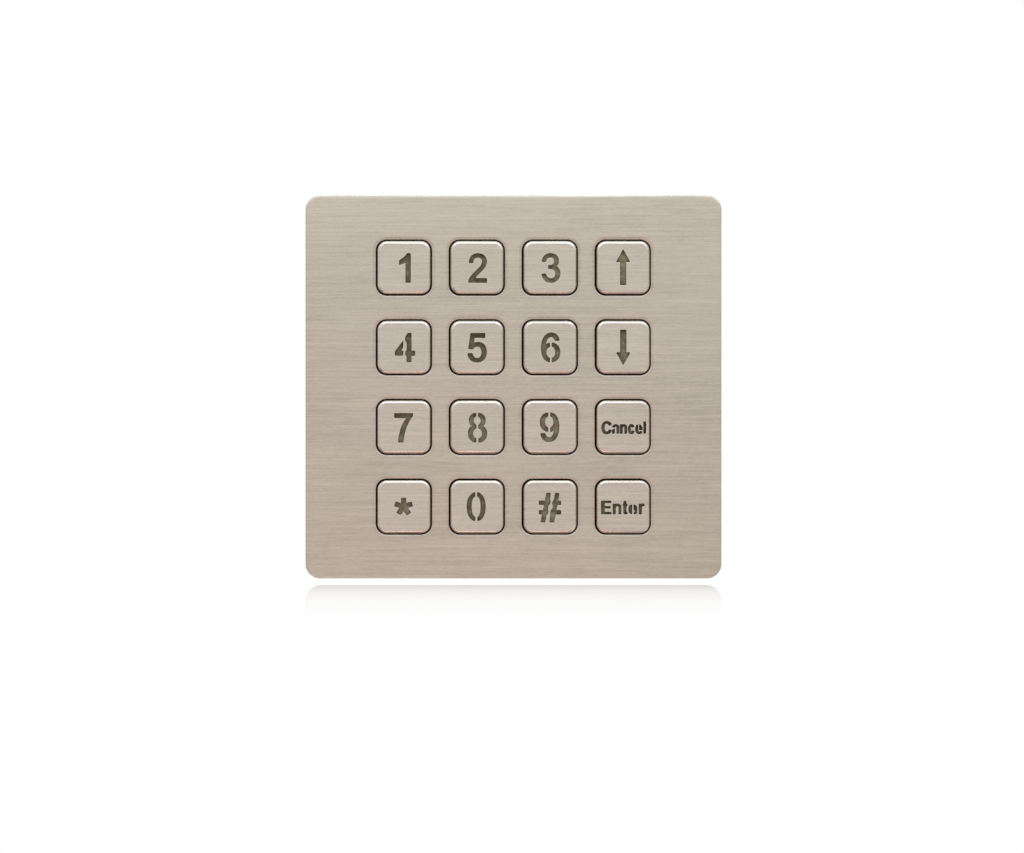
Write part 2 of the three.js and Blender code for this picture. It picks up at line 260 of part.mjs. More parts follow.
// ---- silicone keymat: sheet with a dome and a lamp window at each key ----
{
  const open = DOME_R - 0.9;
  const holes = everyKey((_, x, z) => circle(open, 8, x, z, Math.PI / 8));
  const windows = everyKey((_, x, z) => rrect(3, 2.4, 0.01, 1, x + LED_X, z + LED_Z));
  let s = slab(rrect(MAT_W, MAT_H, 2, 2), MAT_D, MAT_D + MAT_T, { holes: [...holes, ...windows] });
  const dome = [
    [0, DOME_TOP_D], [DOME_TOP_R, DOME_TOP_D], [DOME_R, MAT_D + 0.3], [open - 0.1, MAT_D + 0.6],
    [DOME_TOP_R - 0.7, DOME_TOP_D + 0.9], [PILL_R, DOME_TOP_D + 0.9], [PILL_R, PILL_D], [0, PILL_D],
  ];
  everyKey((_, x, z) => { s = s.add(turned(dome, 8, x, z, Math.PI / 8)); });
  place('silicone_keymat', s, SILICONE);
}
// ---- circuit board with its soldered lamps, and the larger parts on its back ----
{
  const back = BOARD_D + BOARD_T;
  let s = slab(rrect(BOARD_W, BOARD_H, 2, 2), BOARD_D, back, { holes: posts.map(([x, z]) => circle(1.7, 8, x, z)) });
  everyKey((_, x, z) => { s = s.add(slab(rrect(2, 1.25, 0.01, 1, x + LED_X, z + LED_Z), BOARD_D - 0.8, BOARD_D + 0.3)); });
  place('circuit_board', s, BOARD);
  place('controller_chip', slab(rrect(10, 10, 0.6, 1), back + GAP, back + 1.6), BLACK, 'body', -14, 8);
  place('interface_chip', slab(rrect(5, 4, 0.3, 1), back + GAP, back + 1.7), BLACK, 'body', 16, -8);
  const shell = slab(rrect(HEADER_W, HEADER_H, 0.4, 1), back + GAP, back + HEADER_L);
  const bay = slab(rrect(HEADER_W - 2.3, HEADER_H - 2.3, 0.3, 1), back + 2.6, back + HEADER_L + 1);
  const key = slab(rrect(4.5, 3, 0.2, 1, 0, HEADER_H / 2), back + 3.6, back + HEADER_L + 1);
  place('ribbon_header', cut(shell, bay, key), BLACK, 'body', 0, HEADER_Z);
}
// ---- pillars, rear cover and its screws ----
posts.forEach(([x, z], k) => {
  const hex = (r, d0, d1) => slab(circle(r, 6, 0, 0, Math.PI / 6), d0, d1);
  const s = join(hex(2.8, GAP, BOARD_D - GAP), slab(circle(1.6, 8), -1.5, GAP + 0.5));
  place('board_pillar_' + (k + 1), cut(s, slab(circle(1.3, 8), 1.5, BOARD_D + 1)), ZINC, 'body', x, z);
  const t = join(hex(2.8, BOARD_D + BOARD_T + GAP, COVER_D - COVER_WALL - GAP), slab(circle(1.2, 8), 2.2, BOARD_D + BOARD_T + GAP + 0.5));
  place('cover_spacer_' + (k + 1), cut(t, slab(circle(1.3, 8), 10, COVER_D)), BRASS, 'body', x, z);
});
{
  const holes = [...posts.map(([x, z]) => slab(circle(1.7, 10, x, z), 8, COVER_D + 2))];
  const tray = slab(rrect(COVER_W, COVER_H, COVER_R, 4), -4, COVER_D, { bevel: 1, steps: 2 });
  const s = cut(
    tray,
    slab(rrect(120, 120, 1, 1), -8, GAP),
    slab(rrect(COVER_W - 2 * COVER_WALL, COVER_H - 2 * COVER_WALL, COVER_R - COVER_WALL, 4), -6, COVER_D - COVER_WALL),
    slab(rrect(WINDOW_W, WINDOW_H, 1, 2, 0, HEADER_Z), COVER_D - 4, COVER_D + 2),
    ...holes,
  );
  place('rear_cover', s, BLACK);
}
posts.forEach(([x, z], k) => {
  let s = join(
    slab(circle(1.2, 8), 10.4, COVER_D + 0.5),
    turned([[0, COVER_D + 0.06], [2.8, COVER_D + 0.06], [2.8, COVER_D + 1.1], [2, COVER_D + 1.9], [0, COVER_D + 1.9]], 10),
  );
  for (const [w, h] of [[3, 0.7], [0.7, 3]]) s = s.subtract(slab(rrect(w, h, 0.01, 1), COVER_D + 0.9, COVER_D + 3));
  place('cover_screw_' + (k + 1), s, ZINC, 'body', x, z);
});

export default reader;
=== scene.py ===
# Keypad access reader: the visual model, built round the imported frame. Metres, +Z up, front faces -Y.
import math
import bmesh
import bpy
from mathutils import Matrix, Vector


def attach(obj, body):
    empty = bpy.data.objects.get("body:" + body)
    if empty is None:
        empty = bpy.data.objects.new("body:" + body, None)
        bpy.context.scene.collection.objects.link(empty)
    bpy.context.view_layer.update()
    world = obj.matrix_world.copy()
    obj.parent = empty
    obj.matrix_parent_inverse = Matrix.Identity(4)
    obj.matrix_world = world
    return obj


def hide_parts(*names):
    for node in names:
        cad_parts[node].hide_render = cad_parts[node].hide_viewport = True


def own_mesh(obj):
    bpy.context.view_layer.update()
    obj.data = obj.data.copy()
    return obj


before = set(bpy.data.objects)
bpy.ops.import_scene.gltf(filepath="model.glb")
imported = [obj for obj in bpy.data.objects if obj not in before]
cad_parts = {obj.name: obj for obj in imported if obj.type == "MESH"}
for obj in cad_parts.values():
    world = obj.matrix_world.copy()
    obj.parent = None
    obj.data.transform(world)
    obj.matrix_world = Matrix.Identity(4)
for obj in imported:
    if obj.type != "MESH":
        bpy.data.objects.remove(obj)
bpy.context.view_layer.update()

MM = 0.001

# ---- the frame's own sizes, in millimetres ----
PITCH_X, PITCH_Z = 20.0, 21.84
PLATE_W, PLATE_H, PLATE_T, PLATE_R = 114.0, 105.0, 2.5, 4.0
HOLE, HOLE_R, HOLE_SHIFT = 15.15, 2.9, -0.06
CAP, CAP_R, CAP_FRONT, CAP_TOP, CAP_WALL, CAP_EDGE, CAP_EDGE_D, CAP_SAG = 14.5, 2.6, -3.7, 1.0, 1.0, 0.8, 0.75, 0.1
FLANGE, FLANGE_R = 17.5, 3.2
GUIDE, GUIDE_R = 12.1, 1.1
POST_X, POST_Z = 43.4, 33.0
STUD_X, STUD_Z = 52.8, 48.8
COVER_W, COVER_H, COVER_R, COVER_WALL, COVER_D = 97.0, 90.0, 3.6, 1.2, 16.0
HEADER_Z, WINDOW_W, WINDOW_H = -26.0, 24.0, 12.4
BOARD_BACK = 8.3
KEYS = [["1", "2", "3", "up"], ["4", "5", "6", "down"], ["7", "8", "9", "cancel"], ["star", "0", "hash", "enter"]]
BODY = "reader_body"

# ---- legends: the same stencil outlines as the frame's key caps ----
LEGENDS = {
  "1": [[[0.45, -4.25, 0.25], [1.88, -4.25, 0.25], [1.88, 3.9, 0.5], [0.85, 3.9, 0.35], [0.45, 3.0, -0.3, 2.5], [-1.3, 2.0, 0.3], [-1.3, 0.62, 0.35], [-0.6, 0.75, 0.0, 1.0], [0.45, 1.3, 0.1]]],
  "2": [[[-2.2, 1.15, 0.25], [-2.2, 2.9, -1.2, 3.85], [0.3, 3.85, 0], [1.8, 3.85, 2.72, 2.8], [2.72, 1.5, 0], [2.72, 0.2, 1.6, -0.8], [0.55, -1.85, 0], [0.1, -2.3, -0.25, -2.65], [-0.4, -2.95, 0.1], [2.72, -2.95, 0.25], [2.72, -4.25, 0.25], [-2.4, -4.25, 0.25], [-2.35, -3.8, 0], [-2.2, -2.7, -1.3, -1.9], [-0.35, -0.95, 0], [0.6, 0.0, 1.38, 0.6], [1.38, 1.5, 0], [1.38, 2.2, 0.95, 2.65], [0.3, 2.65, 0], [-0.5, 2.65, -1.0, 2.1], [-1.05, 1.15, 0.25]]],
  "3": [[[-2.25, 1.45, 0.25], [-2.2, 2.9, -1.3, 3.88], [0.1, 3.88, 0], [1.5, 3.88, 2.42, 3.0], [2.42, 1.85, 0], [2.42, 1.15, 2.2, 0.7], [1.8, 0.28, 0.15], [2.45, -0.15, 2.82, -0.8], [2.82, -1.65, 0], [2.82, -3.1, 1.8, -4.27], [0.25, -4.27, 0], [-1.25, -4.27, -2.15, -3.3], [-2.3, -1.75, 0.25], [-1.15, -1.65, 0.25], [-1.0, -2.5, -0.5, -3.02], [0.25, -3.02, 0], [1.0, -3.02, 1.42, -2.5], [1.42, -1.75, 0], [1.42, -0.95, 0.9, -0.5], [0.0, -0.48, 0], [-0.52, -0.48, 0.2], [-0.52, 0.6, 0.2], [0.0, 0.6, 0], [0.75, 0.62, 1.1, 1.1], [1.1, 1.75, 0], [1.1, 2.35, 0.7, 2.68], [0.15, 2.68, 0], [-0.5, 2.68, -0.95, 2.3], [-1.1, 1.45, 0.25]]],
  "up": [[[0, 4.98, 0.25], [-1.98, 1.38, 0.35], [-0.83, 1.38, 0.12], [-0.83, -4.92, 0.3], [0.83, -4.92, 0.3], [0.83, 1.38, 0.12], [1.98, 1.38, 0.35]]],
  "4": [[[-0.18, 1.85, 0.3], [-2.45, -1.15, 0.25], [-2.45, -2.35, 0.3], [-0.18, -2.35, 0.25], [-0.18, -1.05, 0.2], [-0.68, -0.82, 0.12], [-0.18, 0.0, 0.2]], [[2.08, 3.92, 0.3], [1.1, 3.92, 0.35], [0.36, 2.85, 0.35], [0.33, 1.85, 0.25], [0.78, 1.2, 0.15], [0.78, -0.8, 0.15], [0.4, -1.2, 0.2], [0.4, -2.1, 0.2], [0.75, -2.6, 0.15], [0.75, -4.15, 0.25], [2.08, -4.15, 0.25], [2.08, -2.4, 0.1], [3.08, -2.4, 0.4], [3.08, -0.95, 0.4], [2.08, -0.95, 0.1]]],
  "5": [[[-1.75, 3.88, 0.25], [-2.42, -0.62, 0.3], [-1.05, -0.62, 0.25], [-0.85, -0.2, -0.45, 0.08], [0.05, 0.08, 0], [0.8, 0.08, 1.25, -0.5], [1.25, -1.4, 0], [1.25, -2.3, 0.8, -3.0], [0.08, -3.0, 0], [-0.6, -3.0, -1.0, -2.5], [-1.25, -1.58, 0.3], [-2.62, -1.7, 0.3], [-2.5, -3.3, -1.4, -4.22], [0.1, -4.22, 0], [1.7, -4.22, 2.7, -3.0], [2.7, -1.25, 0], [2.7, 0.2, 1.8, 1.42], [0.35, 1.42, 0], [0.0, 1.42, -0.4, 1.4], [-0.85, 1.2, 0.1], [-0.62, 2.5, 0.15], [2.28, 2.5, 0.3], [2.28, 3.88, 0.25]]],
  "6": [[[2.62, 1.7, 0.3], [2.45, 3.1, 1.7, 4.0], [0.4, 4.0, 0], [-1.4, 4.0, -2.45, 2.3], [-2.45, -0.2, 0], [-2.45, -2.6, -1.6, -3.9], [-0.35, -4.12, 0], [-0.02, -4.15, 0.15], [-0.02, -3.0, 0.15], [-0.65, -2.75, -1.0, -2.1], [-1.0, -1.4, 0], [-1.0, -0.75, -0.6, -0.15], [-0.02, 0.0, 0.15], [-0.02, 1.2, 0.25], [-0.4, 1.2, -0.75, 1.05], [-1.08, 0.8, 0.1], [-1.02, 1.9, -0.5, 2.72], [0.35, 2.72, 0], [0.85, 2.72, 1.15, 2.4], [1.3, 1.7, 0.3]], [[0.5, 1.28, 0.3], [0.5, 0.02, 0.2], [1.1, -0.15, 1.42, -0.7], [1.42, -1.45, 0], [1.42, -2.2, 1.1, -2.75], [0.5, -2.95, 0.2], [0.5, -4.15, 0.3], [1.9, -4.1, 2.8, -2.9], [2.8, -1.4, 0], [2.8, 0.1, 1.9, 1.1]]],
  "down": [[[0.03, -4.98, 0.25], [2.01, -1.4, 0.35], [0.88, -1.4, 0.12], [0.88, 4.8, 0.3], [-0.82, 4.8, 0.3], [-0.82, -1.4, 0.12], [-1.95, -1.4, 0.35]]],
  "7": [[[-2.62, 3.8, 0.3], [-2.62, 2.42, 0.3], [0.72, 2.42, 0.1], [-0.7, 0.8, -1.35, -1.5], [-1.62, -4.25, 0.3], [-0.1, -4.25, 0.3], [0.1, -1.0, 1.3, 1.6], [2.5, 2.95, 0.15], [2.5, 3.8, 0.25]]],
  "8": [[[-0.2, 3.88, 0.3], [-1.4, 3.88, -2.22, 3.0], [-2.22, 1.85, 0], [-2.22, 1.15, -2.0, 0.65], [-1.58, 0.22, 0.12], [-2.1, -0.15, -2.48, -0.85], [-2.48, -1.75, 0], [-2.48, -3.2, -1.5, -4.3], [-0.18, -4.3, 0.3], [-0.18, -3.1, 0.2], [-0.8, -2.95, -1.05, -2.4], [-1.05, -1.8, 0], [-1.05, -1.1, -0.7, -0.7], [-0.18, -0.42, 0.25], [-0.18, 0.62, 0.25], [-0.65, 0.85, -0.92, 1.25], [-0.92, 1.75, 0], [-0.92, 2.25, -0.65, 2.6], [-0.2, 2.85, 0.2]], [[0.3, 3.88, 0.3], [0.3, 2.85, 0.2], [0.75, 2.6, 1.05, 2.25], [1.05, 1.75, 0], [1.05, 1.25, 0.8, 0.85], [0.36, 0.62, 0.25], [0.36, -0.42, 0.25], [1.05, -0.7, 1.4, -1.15], [1.4, -1.8, 0], [1.4, -2.45, 1.05, -3.0], [0.42, -3.12, 0.2], [0.42, -4.35, 0.3], [1.8, -4.35, 2.78, -3.2], [2.78, -1.75, 0], [2.78, -0.85, 2.35, -0.15], [1.72, 0.2, 0.12], [2.15, 0.65, 2.38, 1.15], [2.38, 1.8, 0], [2.38, 3.0, 1.5, 3.88]]],
  "9": [[[-0.5, 3.98, 0.3], [-1.9, 3.9, -2.78, 2.8], [-2.78, 1.3, 0], [-2.78, -0.1, -1.9, -1.35], [-0.5, -1.4, 0.3], [-0.5, -0.15, 0.2], [-1.1, 0.1, -1.35, 0.6], [-1.35, 1.3, 0], [-1.35, 2.0, -1.1, 2.6], [-0.5, 2.85, 0.2]], [[0.05, 4.0, 0.3], [0.05, 2.85, 0.2], [0.65, 2.6, 0.95, 2.0], [0.95, 1.3, 0], [0.95, 0.6, 0.6, 0.1], [0.05, -0.12, 0.2], [0.05, -1.4, 0.25], [0.4, -1.35, 0.75, -1.15], [1.0, -0.98, 0.1], [0.95, -2.0, 0.55, -2.82], [-0.2, -2.82, 0], [-0.8, -2.82, -1.1, -2.5], [-1.35, -1.65, 0.3], [-2.68, -1.75, 0.3], [-2.5, -3.1, -1.7, -4.15], [-0.3, -4.15, 0], [1.6, -4.15, 2.52, -2.3], [2.52, 0.2, 0], [2.52, 2.3, 1.7, 3.9]]],
  "cancel": [[[-3.075, 0.707, 0.2], [-3.42, 1.385, -3.977, 1.63], [-4.5, 1.63, 0], [-5.354, 1.63, -5.96, 0.837], [-5.96, -0.2, 0], [-5.96, -1.288, -5.353, -2.06], [-4.5, -2.06, 0], [-3.974, -2.06, -3.413, -1.78], [-3.078, -0.941, 0.2], [-3.862, -0.603, 0.15], [-4.045, -1.089, -4.196, -1.24], [-4.45, -1.24, 0], [-4.882, -1.24, -5.09, -0.824], [-5.09, -0.2, 0], [-5.09, 0.471, -4.885, 0.84], [-4.45, 0.84, 0], [-4.196, 0.84, -4.045, 0.689], [-3.878, 0.239, 0.15]], [[-3.062, -0.084, 0.15], [-2.402, -0.255, 0.12], [-2.28, -0.012, -2.173, 0.06], [-2.02, 0.06, 0], [-1.867, 0.06, -1.84, 0.022], [-1.84, -0.15, 0], [-1.84, -1.87, 0.2], [-1.03, -1.87, 0.2], [-1.03, -0.2, 0], [-1.03, 0.44, -1.415, 0.79], [-2.0, 0.79, 0], [-2.421, 0.79, -2.876, 0.563]], [[-3.07, -0.797, 0.25], [-3.07, -1.87, 0.3], [-2.26, -1.87, 0.2], [-2.26, -0.347, 0.15]], [[-0.88, 0.717, 0.15], [-0.88, -1.86, 0.2], [-0.1, -1.86, 0.2], [-0.1, -0.25, 0], [-0.1, -0.039, -0.023, 0.02], [0.15, 0.02, 0], [0.301, 0.02, 0.34, 0.001], [0.34, -0.15, 0], [0.34, -1.86, 0.2], [1.1, -1.86, 0.2], [1.1, -0.1, 0], [1.1, 0.374, 0.843, 0.76], [0.299, 0.76, 0]], [[3.104, 0.042, 0.15], [2.936, 0.559, 2.635, 0.8], [2.2, 0.8, 0], [1.645, 0.8, 1.28, 0.229], [1.28, -0.6, 0], [1.28, -1.429, 1.645, -2.0], [2.25, -2.0, 0], [2.691, -2.0, 2.987, -1.704], [3.176, -1.139, 0.15], [2.436, -0.87, 0.12], [2.332, -1.196, 2.309, -1.22], [2.22, -1.22, 0], [2.127, -1.22, 2.08, -1.037], [2.08, -0.6, 0], [2.08, -0.163, 2.127, 0.02], [2.22, 0.02, 0], [2.309, 0.02, 2.335, -0.006], [2.424, -0.23, 0.12]], [[4.11, 0.751, 0.15], [3.538, 0.629, 3.29, 0.121], [3.29, -0.6, 0], [3.29, -1.429, 3.704, -2.01], [4.35, -2.01, 0], [4.824, -2.01, 5.179, -1.809], [5.306, -1.236, 0.2], [4.592, -1.041, 0.12], [4.523, -1.246, 4.468, -1.29], [4.35, -1.29, 0], [4.173, -1.29, 4.11, -0.991], [4.11, -0.6, 0]], [[4.36, 0.748, 0.15], [4.36, -0.91, 0.15], [5.31, -0.91, 0.15], [5.31, 0.125, 5.006, 0.631]], [[5.54, 1.48, 0.2], [5.54, -1.84, 0.2], [6.21, -1.84, 0.2], [6.21, 1.48, 0.2]]],
  "star": [],
  "0": [[[-0.48, 4.05, 0.3], [-2.0, 3.7, -2.8, 2.1], [-2.8, 0.05, 0], [-2.8, -2.0, -2.0, -3.7], [-0.45, -4.0, 0.3], [-0.45, -2.8, 0.2], [-1.15, -2.5, -1.45, -1.4], [-1.45, 0.05, 0], [-1.45, 1.5, -1.15, 2.55], [-0.48, 2.85, 0.2]], [[0.05, 4.05, 0.3], [0.05, 2.85, 0.2], [0.7, 2.55, 1.0, 1.5], [1.0, 0.05, 0], [1.0, -1.4, 0.75, -2.5], [0.12, -2.8, 0.2], [0.12, -4.0, 0.3], [1.65, -3.7, 2.38, -2.0], [2.38, 0.05, 0], [2.38, 2.1, 1.6, 3.7]]],
  "hash": [[[-1.05, 3.85, 0.4], [-1.4, 1.7, 0.1], [-3.08, 1.7, 0.4], [-3.08, 0.45, 0.4], [-1.65, 0.45, 0.1], [-1.95, -0.9, 0.1], [-3.08, -0.9, 0.4], [-3.08, -2.12, 0.4], [-2.2, -2.12, 0.1], [-2.6, -4.3, 0.3], [-1.35, -4.3, 0.3], [-0.95, -2.3, 0.15], [-0.5, -1.8, 0.2], [-0.42, -1.2, 0.15], [-0.6, -0.8, 0.15], [-0.45, 0.2, 0.15], [0.08, 0.85, 0.2], [0.15, 1.55, 0.2], [0.0, 2.0, 0.1], [0.18, 3.85, 0.4]], [[1.35, 3.82, 0.4], [1.1, 2.0, 0.1], [0.68, 1.45, 0.2], [0.58, 0.9, 0.2], [0.75, 0.4, 0.15], [0.72, -0.3, 0.1], [0.25, -0.9, 0.15], [0.02, -1.5, 0.2], [0.1, -2.1, 0.15], [-0.15, -4.3, 0.3], [1.1, -4.3, 0.3], [1.5, -2.12, 0.1], [3.05, -2.12, 0.4], [3.05, -0.88, 0.4], [1.75, -0.88, 0.1], [2.0, 0.45, 0.1], [3.05, 0.45, 0.4], [3.05, 1.72, 0.4], [2.25, 1.72, 0.1], [2.58, 3.82, 0.4]]],
  "enter": [[[-6.02, 1.68, 0.25], [-6.02, -2.08, 0.25], [-3.22, -2.08, 0.25], [-3.22, -1.38, 0.25], [-5.05, -1.38, 0.1], [-5.05, -0.48, 0.1], [-3.4, -0.48, 0.25], [-3.4, 0.2, 0.25], [-5.05, 0.2, 0.1], [-5.05, 1.02, 0.1], [-3.28, 1.02, 0.25], [-3.28, 1.68, 0.25]], [[-2.85, 0.85, 0.25], [-2.85, -2.08, 0.25], [-2.02, -2.08, 0.25], [-2.02, -0.35, 0], [-2.02, -0.05, -1.9, 0.05], [-1.6, 0.05, 0], [-1.35, 0.05, -1.25, -0.05], [-1.25, -0.3, 0], [-1.25, -2.08, 0.25], [-0.48, -2.08, 0.25], [-0.48, -0.2, 0], [-0.48, 0.4, -0.75, 0.85], [-1.4, 0.85, 0]], [[0.15, 1.62, 0.3], [0.05, 0.9, 0.1], [-0.18, 0.45, 0.2], [0.05, 0.1, 0.1], [0.05, -1.4, 0], [0.05, -1.8, 0.15, -2.1], [0.45, -2.1, 0], [1.15, -2.1, 0.25], [1.22, -1.5, 0.2], [0.88, -1.3, 0.1], [0.88, 0.0, 0.1], [1.1, 0.15, 0.15], [1.22, 0.6, 0.2], [0.9, 0.95, 0.1], [0.85, 1.62, 0.3]], [[2.45, 0.68, 0.25], [1.8, 0.6, 1.45, 0.1], [1.45, -0.65, 0], [1.45, -1.5, 1.8, -2.05], [2.45, -2.1, 0.25]], [[2.88, 0.68, 0.25], [2.88, -0.85, 0.2], [3.28, -1.2, 0.15], [2.88, -1.55, 0.2], [2.88, -2.1, 0.25], [3.4, -2.1, 3.78, -1.95], [3.9, -1.5, 0.1], [3.78, -1.2, 0.15], [3.9, -0.75, 0.1], [3.9, 0.1, 3.5, 0.6]], [[4.28, 0.88, 0.25], [4.28, -2.08, 0.25], [5.1, -2.08, 0.25], [5.1, -0.3, 0], [5.1, -0.1, 5.15, 0.0], [5.35, 0.08, 0], [5.75, 0.15, 0.2], [5.88, 0.55, 0.15], [5.8, 0.88, 0.2]]],
}
arm, tip = 0.72, 2.5
inner, star = arm / math.sin(math.pi / 5), []
for k in range(5):
    a = math.pi / 2 + 2 * math.pi * k / 5
    c, s = math.cos(a), math.sin(a)
    star.append([-0.07 + inner * math.cos(a - math.pi / 5), 0.02 + inner * math.sin(a - math.pi / 5), 0.12])
    star.append([-0.07 + tip * c + arm * s, 0.02 + tip * s - arm * c, 0.3])
    star.append([-0.07 + tip * c - arm * s, 0.02 + tip * s + arm * c, 0.3])
LEGENDS["star"] = [star]


def lerp(a, b, t):
    return (a[0] + (b[0] - a[0]) * t, a[1] + (b[1] - a[1]) * t)


def clean(points, least=1e-3):
    kept = []
    for p in points:
        if not kept or math.dist(p, kept[-1]) > least:
            kept.append(p)
    while len(kept) > 2 and math.dist(kept[0], kept[-1]) <= least:
        kept.pop()
    return kept


def outline(spec, step=0.16, m=5):
    """One closed outline: curved sides in steps of that length, m facets to a corner."""
    corners, sides, bend = [], [], None
    for s in [*spec, spec[0]]:
        if len(s) == 4:
            bend = s
            continue
        if corners:
            sides.append(bend)
        corners.append(s)
        bend = None
    if len(spec[-1]) == 4:
        sides[-1] = spec[-1]
    count, lines = len(corners) - 1, []
    for i in range(count):
        a, b, c = corners[i], corners[i + 1], sides[i]
        pts = []
        for k in range(65):
            t = k / 64
            u = 1 - t
            if c:
                pts.append((u**3 * a[0] + 3 * u * u * t * c[0] + 3 * u * t * t * c[2] + t**3 * b[0], u**3 * a[1] + 3 * u * u * t * c[1] + 3 * u * t * t * c[3] + t**3 * b[1]))
            else:
                pts.append(lerp(a, b, t))
        run = [0.0]
        for k in range(1, len(pts)):
            run.append(run[-1] + math.dist(pts[k], pts[k - 1]))
        total = run[-1]

        def at(s):
            k = 1
            while k < len(run) - 1 and run[k] < s:
                k += 1
            return lerp(pts[k - 1], pts[k], min(1.0, max(0.0, (s - run[k - 1]) / max(1e-9, run[k] - run[k - 1]))))

        lo, hi = min(a[2], 0.48 * total), total - min(b[2], 0.48 * total)
        parts = max(2, round((hi - lo) / step)) if c else 1
        lines.append([at(lo + (hi - lo) * k / parts) for k in range(parts + 1)])
    out = []
    for i in range(count):
        p, q, c = lines[i - 1][-1], lines[i][0], corners[i]
        if c[2] > 0:
            for k in range(1, m):
                t = k / m
                u = 1 - t
                out.append((u * u * p[0] + 2 * u * t * c[0] + t * t * q[0], u * u * p[1] + 2 * u * t * c[1] + t * t * q[1]))
        out.extend(lines[i])
    return clean(out, 0.012)


def area(loop):
    return sum(a[0] * b[1] - b[0] * a[1] for a, b in zip(loop, [*loop[1:], loop[0]])) / 2


def grow(loop, d):
    """The outline moved outwards by d."""
    turn = 1 if area(loop) > 0 else -1
    out, n = [], len(loop)
    for i in range(n):
        a, b, c = loop[i - 1], loop[i], loop[(i + 1) % n]
        n1 = Vector((b[1] - a[1], a[0] - b[0])).normalized() * turn
        n2 = Vector((c[1] - b[1], b[0] - c[0])).normalized() * turn
        m = (n1 + n2) / max(0.6, 1 + n1.dot(n2))
        out.append((b[0] + m.x * d, b[1] + m.y * d))
    return out


def rrect(w, h, r, n=8, x=0.0, z=0.0):
    out = []
    r = max(r, 0.02)
    for k in range(4):
        cx, cz = x + (1 if k in (0, 3) else -1) * (w / 2 - r), z + (1 if k < 2 else -1) * (h / 2 - r)
        for i in range(n + 1):
            a = math.pi / 2 * (k + i / n)
            out.append((cx + r * math.cos(a), cz + r * math.sin(a)))
    return out


def circle(r, n, x=0.0, z=0.0, turn=0.0):
    return [(x + r * math.cos(turn + 2 * math.pi * i / n), z + r * math.sin(turn + 2 * math.pi * i / n)) for i in range(n)]


class Shape:
    """A closed surface made of rings that lie across the depth axis, in millimetres."""

    def __init__(self):
        self.v, self.f, self.flats, self.tags = [], [], [], []

    def ring(self, loop, y):
        first = len(self.v)
        self.v += [(p[0], y, p[1]) for p in loop]
        return list(range(first, len(self.v)))

    def skin(self, rings, tag=0):
        for a, b in zip(rings, rings[1:]):
            n = len(a)
            self.f += [(a[i], a[(i + 1) % n], b[(i + 1) % n], b[i]) for i in range(n)]
            self.tags += [tag] * n

    def walls(self, pairs, tag=None):
        """Rings through (outline, depth) pairs. tag(depth, depth) picks each band's material. Returns the first and the last."""
        rings = [self.ring(loop, y) for loop, y in pairs]
        for k in range(len(pairs) - 1):
            self.skin(rings[k:k + 2], tag(pairs[k][1], pairs[k + 1][1]) if tag else 0)
        return rings[0], rings[-1]

    def flat(self, *rings, tag=0):
        """A flat face that one ring bounds and the others pierce."""
        self.flats.append((rings, tag))

    def build(self, name, x=0.0, z=0.0, sharp=38.0, seed=0.0):
        bm = bmesh.new()
        verts = [bm.verts.new((p[0] * MM, p[1] * MM, p[2] * MM)) for p in self.v]
        for f, tag in zip(self.f, self.tags):
            bm.faces.new([verts[i] for i in f]).material_index = tag
        level = set()
        for rings, tag in self.flats:
            edges = []
            for r in rings:
                level.update(r)
                for i in range(len(r)):
                    a, b = verts[r[i]], verts[r[(i + 1) % len(r)]]
                    edges.append(bm.edges.get((a, b)) or bm.edges.new((a, b)))
            made = bmesh.ops.triangle_fill(bm, use_beauty=True, use_dissolve=False, edges=edges, normal=(0, 1, 0))
            for g in made["geom"]:
                if isinstance(g, bmesh.types.BMFace):
                    g.material_index = tag
        bmesh.ops.recalc_face_normals(bm, faces=bm.faces[:])
        mesh = bpy.data.meshes.new(name)
        bm.to_mesh(mesh)
        bm.free()
        mesh.polygons.foreach_set("use_smooth", [True] * len(mesh.polygons))
        mesh.set_sharp_from_angle(angle=math.radians(sharp))
        # a flat face stays flat up to its rim, and the rounding starts from it
        normals = [c.vector.copy() for c in mesh.corner_normals]
        for p in mesh.polygons:
            if abs(p.normal.y) < 0.7:
                continue
            for k in p.loop_indices:
                if abs(p.normal.y) > 0.9999 or mesh.loops[k].vertex_index in level:
                    normals[k] = Vector((0, math.copysign(1, p.normal.y), 0))
        mesh.normals_split_custom_set(normals)
        obj = bpy.data.objects.new(name, mesh)
        bpy.context.scene.collection.objects.link(obj)
        obj.location = (x * MM, 0, z * MM)
        mark = mesh.attributes.new("seed", "FLOAT", "POINT")
        mark.data.foreach_set("value", [seed] * len(mesh.vertices))
        return obj


def finish(obj, material, slot, body, *replaced):
    for m in material if isinstance(material, tuple) else (material,):
        obj.data.materials.append(m)
    if replaced:
        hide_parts(*replaced)
    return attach(obj, body)


